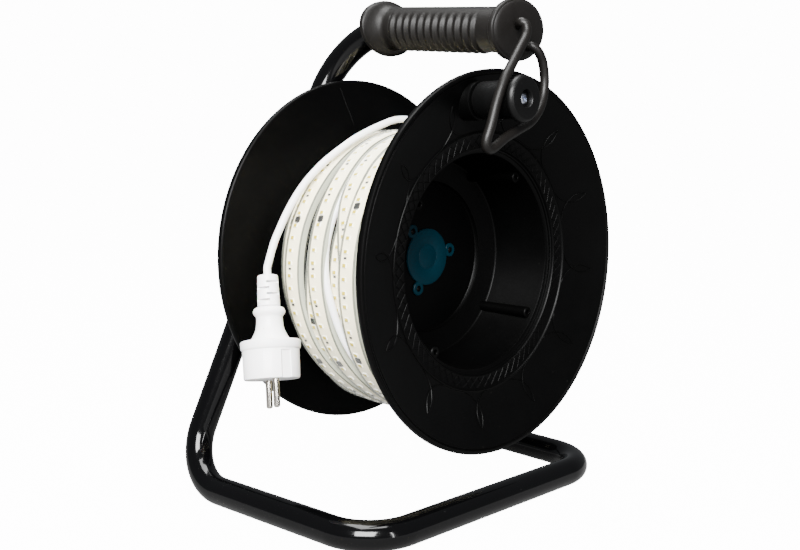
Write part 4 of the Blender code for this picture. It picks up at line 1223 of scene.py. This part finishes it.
def make_cap():
    """Round cap with three lugs that closes the hub."""
    front, back, radius, lug_r, hole_r = 0.0643, 0.0657, 0.0190, 0.0046, 0.0022
    outline = [(0.0, front), (0.0080, front), (0.0084, front + 0.0002), (0.0088, front),
               (radius - 0.0008, front), (radius - 0.0002, front + 0.0002), (radius, front + 0.0006),
               (radius, back), (0.0, back)]
    lug = [(0.0, front + 0.0001), (lug_r - 0.0005, front + 0.0001), (lug_r, front + 0.0005),
           (lug_r, back - 0.0001), (0.0, back - 0.0001)]
    lugs = [moved(turned("lug", lug, 48), place) for place in lug_places()]
    holes = [moved(rod("hole", hole_r, front - 0.001, back + 0.001, 32), place) for place in lug_places()]
    mesh = cut(cut(turned("cap", outline, 96), lugs, "UNION"), holes)
    plastic = finish("cap_plastic", colours().cap, 0.42, drift=0.16, tone_scale=90.0, spread=0.10,
                     gloss_scale=80.0, fine=900.0, coarse=120.0, bump=0.00005,
                     specks=(260.0, 0.12, 0.12), speck_colour=(0.004, 0.010, 0.012), specular=0.10)
    settle("hub_cover", mesh, plastic, "drum", "hub_cap")


# Outline of the crank knob round its screw, as (radius, along)
KNOB_OUTLINE = [
    (0.0027, -0.0320), (0.0047, -0.0320), (0.0050, -0.0323), (0.0050, -0.0357), (0.0054, -0.0362),
    (0.0114, -0.0362), (0.0122, -0.0360), (0.0131, -0.0348), (0.0136, -0.0340), (0.0137, -0.0330),
    (0.0136, -0.0320), (0.0131, -0.0314), (0.0121, -0.0312), (0.0114, -0.0306), (0.0112, -0.0296),
    (0.0112, -0.0150), (0.0112, -0.0048), (0.0110, -0.0044), (0.0098, -0.0042), (0.0098, -0.0030),
    (0.0027, -0.0030),
]


def knob_screw_mesh():
    """Domed screw with a cross recess."""
    shank, long_half, thin_half = 0.0022, 0.0023, 0.00042
    outline = [(0.0, -0.0345), (0.0015, -0.03445), (0.0026, -0.0341), (0.0034, -0.0335), (0.0037, -0.0329),
               (0.0037, -0.0323), (shank, -0.0323), (shank, 0.0060), (0.0, 0.0060)]
    blades = []
    for a, b in ((long_half, thin_half), (thin_half, long_half)):
        blade = box_mesh((-a, -0.0360, -b), (a, -0.0331, b))
        blade.transform(Matrix.Rotation(math.radians(33.0), 4, "Y"))
        blades.append(blade)
    return moved(cut(turned("screw", outline, 48), blades), KNOB_AT)


def make_knob():
    """Crank knob, and the screw that it turns on."""
    plastic = finish("knob_plastic", colours().knob, 0.40, drift=0.18, tone_scale=70.0, spread=0.10,
                     gloss_scale=80.0, fine=1200.0, coarse=110.0, bump=0.00006,
                     specks=(300.0, 0.12, 0.10), speck_colour=(0.005, 0.005, 0.0045), specular=0.15)
    knob = moved(turned("knob", KNOB_OUTLINE, 96, closed=True), KNOB_AT)
    settle("handle_knob", knob, plastic, "knob", "crank_knob")
    zinc = finish("zinc", (0.55, 0.58, 0.66), 0.24, drift=0.10, tone_scale=300.0, spread=0.10,
                  gloss_scale=500.0, fine=2500.0, coarse=600.0, bump=0.00002, metallic=1.0)
    settle("handle_screw", knob_screw_mesh(), zinc, "drum", "knob_screw")


# Wound light strip
def run_at(run, angle, column):
    """Smooth value of a run's column at an angle, by a cubic with the slopes of its neighbours."""
    for index in range(len(run) - 1):
        if angle <= run[index + 1][0] or index == len(run) - 2:
            break
    before = run[max(index - 1, 0)]
    first = run[index]
    second = run[index + 1]
    after = run[min(index + 2, len(run) - 1)]
    span = second[0] - first[0]
    t = (angle - first[0]) / span
    lean_in = (second[column] - before[column]) / max(1e-6, second[0] - before[0]) * span
    lean_out = (after[column] - first[column]) / max(1e-6, after[0] - first[0]) * span
    start = 2.0 * t ** 3 - 3.0 * t ** 2 + 1.0
    leaving = t ** 3 - 2.0 * t ** 2 + t
    end = -2.0 * t ** 3 + 3.0 * t ** 2
    reaching = t ** 3 - t ** 2
    return start * first[column] + leaving * lean_in + end * second[column] + reaching * lean_out


def strip_place(run, angle):
    """Middle of the strip's outer face at an angle."""
    turn = math.radians(angle)
    radius = sizes().coil_radius - 0.001 * run_at(run, angle, 2)
    along = 0.001 * (run_at(run, angle, 1) + RUN_SHIFT)
    return Vector((radius * math.cos(turn), along, radius * math.sin(turn) - COIL_DROP))


def strip_frame(run, angle):
    """Place, across, up and ahead of the strip at an angle."""
    place = strip_place(run, angle)
    ahead = (strip_place(run, angle + 0.5) - strip_place(run, angle - 0.5)).normalized()
    turn = math.radians(angle)
    out = Vector((math.cos(turn), 0.0, math.sin(turn)))
    across = ahead.cross(out).normalized()
    return place, across, across.cross(ahead), ahead


def strip_frames(run):
    """Frames every two degrees along a run."""
    first, last = run[0][0], run[-1][0]
    count = round((last - first) / 2.0)
    angles = [first + (last - first) * index / count for index in range(count + 1)]
    return [strip_frame(run, angle)[:3] for angle in angles]


def casing_section():
    """Section of the clear casing: domed sides and a fine groove over each edge of the board."""
    half = 1000.0 * 0.5 * sizes().strip_width
    top = [(half - 1.25, 0.0), (half - 1.5, -0.25), (half - 1.75, 0.0), (0.0, 0.06),
           (1.75 - half, 0.0), (1.5 - half, -0.25), (1.25 - half, 0.0)]
    left = [(0.55 - half, -0.35), (0.15 - half, -1.1), (-half, -2.2), (-half, -4.4), (0.3 - half, -5.6),
            (1.0 - half, -6.2)]
    right = [(-s, t) for s, t in reversed(left)]
    return [(0.001 * s, 0.001 * t) for s, t in top + left + right]


def rail_section(side):
    """Section of the milky side wall beside the board."""
    half = 1000.0 * 0.5 * sizes().strip_width
    places = [(half - 1.9, -0.9), (half - 0.9, -1.1), (half - 0.5, -1.9), (half - 0.5, -4.6),
              (half - 1.9, -5.0)]
    return [(0.001 * side * s, 0.001 * t) for s, t in places]


def line_section(place):
    """Section of one of the fine dark lines beside the board."""
    half, top = 0.00017, -0.00062
    return [(place - half, top), (place + half, top), (place + half, BOARD_TOP), (place - half, BOARD_TOP)]


def board_section():
    """Section of the white board."""
    half = 0.5 * sizes().strip_width - BOARD_INSET
    return [(half, BOARD_TOP), (half, BOARD_BACK), (-half, BOARD_BACK), (-half, BOARD_TOP)]


def row_mesh(name, spots):
    """Points at the given (run, angle, offset across, height), each with its own turn."""
    mesh = bpy.data.meshes.new(name)
    places = []
    turns = []
    for run, angle, offset, height in spots:
        place, across, up, ahead = strip_frame(run, angle)
        places.append(place + across * offset + up * height)
        turns.append(Matrix((across, ahead, up)).transposed().to_euler("XYZ"))
    mesh.from_pydata(places, [], [])
    data = mesh.attributes.new("turn", "FLOAT_VECTOR", "POINT")
    for item, turn in zip(data.data, turns):
        item.vector = turn
    return mesh


def unit_ends(run, blocks):
    """Angles of the driver blocks along a run: the given ones, and even steps between and past them."""
    ends = list(blocks)
    for first, second in zip(blocks, blocks[1:]):
        count = round((second - first) / UNIT_ANGLE)
        ends += [first + (second - first) * index / count for index in range(1, count)]
    low = blocks[0]
    while low - UNIT_ANGLE > run[0][0]:
        low -= UNIT_ANGLE
        ends.append(low)
    high = blocks[-1]
    while high + UNIT_ANGLE < run[-1][0]:
        high += UNIT_ANGLE
        ends.append(high)
    return sorted(ends)


def on_strip(spots):
    """The spots that lie between the ends of their run."""
    return [spot for spot in spots if spot[0][0][0] + 1.0 < spot[1] < spot[0][-1][0] - 1.0]


def strip_spots():
    """Where the lights, blocks and small parts sit along both runs."""
    lights = []
    blocks = []
    smalls = []
    count = sizes().lights_per_unit
    for run, known in ((REAR_RUN, REAR_BLOCKS), (FRONT_RUN, FRONT_BLOCKS)):
        ends = unit_ends(run, known)
        ends = [2.0 * ends[0] - ends[1]] + ends + [2.0 * ends[-1] - ends[-2]]
        for first, second in zip(ends, ends[1:]):
            step = (second - first) / count
            lights += [(run, first + step * (index + 0.5), LIGHT_ROW, BOARD_TOP) for index in range(count)]
            smalls += [(run, first + (second - first) * share, LIGHT_ROW, BOARD_TOP)
                       for share in SMALL_PART_SHARES]
            blocks.append((run, second, LIGHT_ROW + BLOCK_OFFSET, BOARD_TOP))
    return on_strip(lights), on_strip(blocks), on_strip(smalls)


def make_strip_body():
    """Clear casing, white board, side walls and fine lines of the wound strip."""
    half = 0.5 * sizes().strip_width
    inner, outer = 0.0019, 0.0009
    lines = [line_section(place) for place in (half - inner, half - outer, outer - half, inner - half)]
    casing = clear_finish("strip_casing", (0.90, 0.92, 0.86), 0.02, 0.75)
    board = finish("strip_board", colours().board, 0.45, drift=0.03, tone_scale=80.0, bump=0.00002)
    line = finish("strip_line", (0.075, 0.080, 0.055), 0.50, drift=0.10, bump=0.00002)
    wall = finish("strip_wall", (0.34, 0.35, 0.27), 0.35, drift=0.08, tone_scale=50.0, bump=0.00003)
    layers = (
        ("strip_casing", casing, [casing_section()]), ("strip_board", board, [board_section()]),
        ("strip_walls", wall, [rail_section(1.0), rail_section(-1.0)]), ("strip_lines", line, lines),
    )
    all_frames = [strip_frames(run) for run in (REAR_RUN, FRONT_RUN)]
    for name, material, sections in layers:
        parts = [section_swept(name, frames, section) for frames in all_frames for section in sections]
        settle(name, merged(name, parts), material, "winding", "led_strip_coil")


def make_strip_parts():
    """Lights, driver blocks and small parts in rows on the board."""
    lights, blocks, smalls = strip_spots()
    window_height = 0.0006
    raised = [(run, angle, offset, height + window_height) for run, angle, offset, height in lights]
    package = finish("light_package", (0.94, 0.93, 0.88), 0.35, drift=0.03, bump=0.00001)
    window = finish("light_window", colours().lights, 0.30, drift=0.12, tone_scale=400.0, bump=0.00001)
    black = finish("driver_black", (0.0020, 0.0020, 0.0022), 0.45, drift=0.10, bump=0.00002)
    grey = finish("small_part_grey", (0.020, 0.020, 0.019), 0.40, drift=0.10, bump=0.00001)
    tin = finish("solder", (0.62, 0.62, 0.60), 0.30, drift=0.10, bump=0.00002, metallic=1.0)
    rows = (
        ("light_packages", lights, (0.0035, 0.0028, 0.0007, 0.12), package),
        ("light_windows", raised, (0.0029, 0.0022, 0.00022, 0.10), window),
        ("driver_blocks", blocks, (0.0040, 0.0036, 0.0009, 0.08), black),
        ("driver_feet", blocks, (0.0034, 0.0048, 0.0002, 0.05), tin),
        ("small_parts", smalls, (0.0020, 0.0013, 0.0005, 0.10), grey),
    )
    for name, spots, block, material in rows:
        shown = new_object(name + "_part", block_mesh("block", *block))
        tree = shared_group("row", row_tree)
        mesh = grown(row_mesh(name, spots), tree, {"Part": shown, "Finish": material})
        bpy.data.objects.remove(shown)
        settle(name, mesh, material, "winding", "led_strip_coil")


def make_lead_turns():
    """The supply lead's turns in the winding, up to where the hanging lead leaves it."""
    points = []
    first, last = LEAD_WOUND[0][0], LEAD_WOUND[-1][0]
    step = 3.0
    count = round((last - first) / step)
    for index in range(count + 1):
        angle = first + (last - first) * index / count
        turn = math.radians(angle)
        radius = 0.001 * run_at(LEAD_WOUND, angle, 2)
        points.append(Vector((radius * math.cos(turn), 0.001 * run_at(LEAD_WOUND, angle, 1),
                              radius * math.sin(turn) - COIL_DROP)))
    mesh = swept("wound_lead", points, (0.5 * LEAD_D,), 24)
    white = white_finish("white_pvc_wound", 0.34, 0.00003)
    settle("wound_lead", mesh, white, "winding", "lead_turns")


# Stage
def area_light(name, place, target, size, power):
    """A soft rectangular lamp that faces a place on the reel."""
    lamp = bpy.data.lights.new(name, "AREA")
    lamp.shape = "RECTANGLE"
    lamp.size, lamp.size_y = size
    lamp.energy = power
    made = new_object(name, lamp)
    made.location = DRUM_AT + Vector(place)
    aim = DRUM_AT + Vector(target) - made.location
    made.rotation_euler = aim.to_track_quat("-Z", "Y").to_euler()


def make_camera():
    """The camera, where the photograph was taken from."""
    view = bpy.data.cameras.new("camera")
    view.lens = CAMERA_LENS
    view.sensor_width = 36.0
    camera = new_object("camera", view)
    ahead = CAMERA_AHEAD.normalized()
    right = (CAMERA_RIGHT - ahead * CAMERA_RIGHT.dot(ahead)).normalized()
    up = right.cross(ahead)
    turn = Matrix((right, up, -ahead)).transposed()
    camera.matrix_world = Matrix.Translation(DRUM_AT + CAMERA_AT) @ turn.to_4x4()
    bpy.context.scene.camera = camera


def make_world():
    """Surroundings that the camera sees as white, and that light the reel only a little."""
    world = bpy.data.worlds.new("studio")
    world.use_nodes = True
    bpy.context.scene.world = world
    tree = world.node_tree
    backdrop = tree.nodes["Background"]
    backdrop.inputs["Color"].default_value = (0.85, 0.88, 0.92, 1.0)
    backdrop.inputs["Strength"].default_value = WORLD_GLOW
    seen = tree.nodes.new("ShaderNodeBackground")
    seen.inputs["Color"].default_value = (1.0, 1.0, 1.0, 1.0)
    seen.inputs["Strength"].default_value = SEEN_WHITE
    path = tree.nodes.new("ShaderNodeLightPath")
    mix = tree.nodes.new("ShaderNodeMixShader")
    tree.links.new(path.outputs["Is Camera Ray"], mix.inputs[0])
    tree.links.new(backdrop.outputs[0], mix.inputs[1])
    tree.links.new(seen.outputs[0], mix.inputs[2])
    tree.links.new(mix.outputs[0], tree.nodes["World Output"].inputs["Surface"])


def make_floor():
    """A floor that the camera sees as white."""
    size = 6.0
    floor = bpy.data.meshes.new("floor")
    corners = [(-size, -size, 0.0), (size, -size, 0.0), (size, size, 0.0), (-size, size, 0.0)]
    floor.from_pydata(corners, [], [(0, 1, 2, 3)])
    pale = finish("pale_floor", (0.14, 0.14, 0.14), 0.8, drift=0.01, tone_scale=2.0, bump=0.0, specular=0.0)
    tree = pale.node_tree
    shader = tree.nodes["Principled BSDF"]
    shader.inputs["Emission Color"].default_value = (1.0, 1.0, 1.0, 1.0)
    strength = tree.nodes.new("ShaderNodeMapRange")
    strength.inputs["To Min"].default_value = FLOOR_GLOW
    strength.inputs["To Max"].default_value = SEEN_WHITE
    path = tree.nodes.new("ShaderNodeLightPath")
    tree.links.new(path.outputs["Is Camera Ray"], strength.inputs["Value"])
    tree.links.new(strength.outputs["Result"], shader.inputs["Emission Strength"])
    floor.materials.append(pale)
    new_object("floor", floor)


def make_stage():
    """Camera, white surroundings, soft lights and a pale floor."""
    make_camera()
    make_world()
    area_light("key", (-1.3, -0.9, 0.9), (-0.05, 0.04, 0.0), (1.0, 1.0), 230.0)
    area_light("top", (-0.1, 0.1, 1.5), (0.0, 0.05, 0.0), (1.1, 0.9), 60.0)
    area_light("edge_strip", (-0.25, -1.3, 0.1), (-0.1, 0.1, -0.05), (0.05, 1.2), 10.0)
    make_floor()


# Operators and panel
class REEL_OT_stage(bpy.types.Operator):
    """Add the camera, the lights and the floor"""

    bl_idname = "reel.stage"
    bl_label = "Stage"

    def execute(self, context):
        make_stage()
        return {"FINISHED"}


class REEL_OT_lead(bpy.types.Operator):
    """Make the hanging supply lead with its plug"""

    bl_idname = "reel.lead"
    bl_label = "Lead and plug"

    def execute(self, context):
        make_lead()
        return {"FINISHED"}


class REEL_OT_stand(bpy.types.Operator):
    """Make the bent tube stand"""

    bl_idname = "reel.stand"
    bl_label = "Stand"

    def execute(self, context):
        make_stand()
        return {"FINISHED"}


class REEL_OT_grip(bpy.types.Operator):
    """Make the ribbed rubber grip"""

    bl_idname = "reel.grip"
    bl_label = "Grip"

    def execute(self, context):
        make_grip()
        return {"FINISHED"}


class REEL_OT_loop(bpy.types.Operator):
    """Make the rubber loop that holds the knob"""

    bl_idname = "reel.loop"
    bl_label = "Knob loop"

    def execute(self, context):
        make_loop()
        return {"FINISHED"}


class REEL_OT_drum(bpy.types.Operator):
    """Make both drum halves with their raised lines"""

    bl_idname = "reel.drum"
    bl_label = "Drum halves"

    def execute(self, context):
        make_drum()
        return {"FINISHED"}


class REEL_OT_cap(bpy.types.Operator):
    """Make the cap over the hub"""

    bl_idname = "reel.cap"
    bl_label = "Hub cap"

    def execute(self, context):
        make_cap()
        return {"FINISHED"}


class REEL_OT_knob(bpy.types.Operator):
    """Make the crank knob and its screw"""

    bl_idname = "reel.knob"
    bl_label = "Crank knob"

    def execute(self, context):
        make_knob()
        return {"FINISHED"}


class REEL_OT_strip(bpy.types.Operator):
    """Wind the light strip on the drum"""

    bl_idname = "reel.strip"
    bl_label = "Light strip"

    def execute(self, context):
        make_strip_body()
        make_strip_parts()
        return {"FINISHED"}


class REEL_OT_lead_turns(bpy.types.Operator):
    """Lay the supply lead's turns in the winding"""

    bl_idname = "reel.lead_turns"
    bl_label = "Wound lead"

    def execute(self, context):
        make_lead_turns()
        return {"FINISHED"}


class REEL_PT_panel(bpy.types.Panel):
    """Sizes, colours and pieces of the reel"""

    bl_label = "Work Light Reel"
    bl_idname = "REEL_PT_panel"
    bl_space_type = "VIEW_3D"
    bl_region_type = "UI"
    bl_category = "Reel"

    def draw(self, context):
        column = self.layout.column()
        for group in (context.scene.reel_sizes, context.scene.reel_colours):
            for name in group.__annotations__:
                column.prop(group, name)
        for step in STEPS:
            column.operator(step.bl_idname)


STEPS = (
    REEL_OT_stage, REEL_OT_lead, REEL_OT_stand, REEL_OT_grip, REEL_OT_loop, REEL_OT_drum, REEL_OT_cap,
    REEL_OT_knob, REEL_OT_strip, REEL_OT_lead_turns,
)
CLASSES = (ReelSizes, ReelColours) + STEPS + (REEL_PT_panel,)


def register():
    """Register the classes and hang the settings on the scene."""
    for item in CLASSES:
        bpy.utils.register_class(item)
    bpy.types.Scene.reel_sizes = bpy.props.PointerProperty(type=ReelSizes)
    bpy.types.Scene.reel_colours = bpy.props.PointerProperty(type=ReelColours)


def unregister():
    """Take the settings and the classes away."""
    del bpy.types.Scene.reel_colours
    del bpy.types.Scene.reel_sizes
    for item in reversed(CLASSES):
        bpy.utils.unregister_class(item)


def main():
    """Make the stage and every piece."""
    register()
    bpy.ops.reel.stage()
    bpy.ops.reel.lead()
    bpy.ops.reel.stand()
    bpy.ops.reel.grip()
    bpy.ops.reel.loop()
    bpy.ops.reel.drum()
    bpy.ops.reel.cap()
    bpy.ops.reel.knob()
    bpy.ops.reel.strip()
    bpy.ops.reel.lead_turns()


if __name__ == "__main__":
    main()
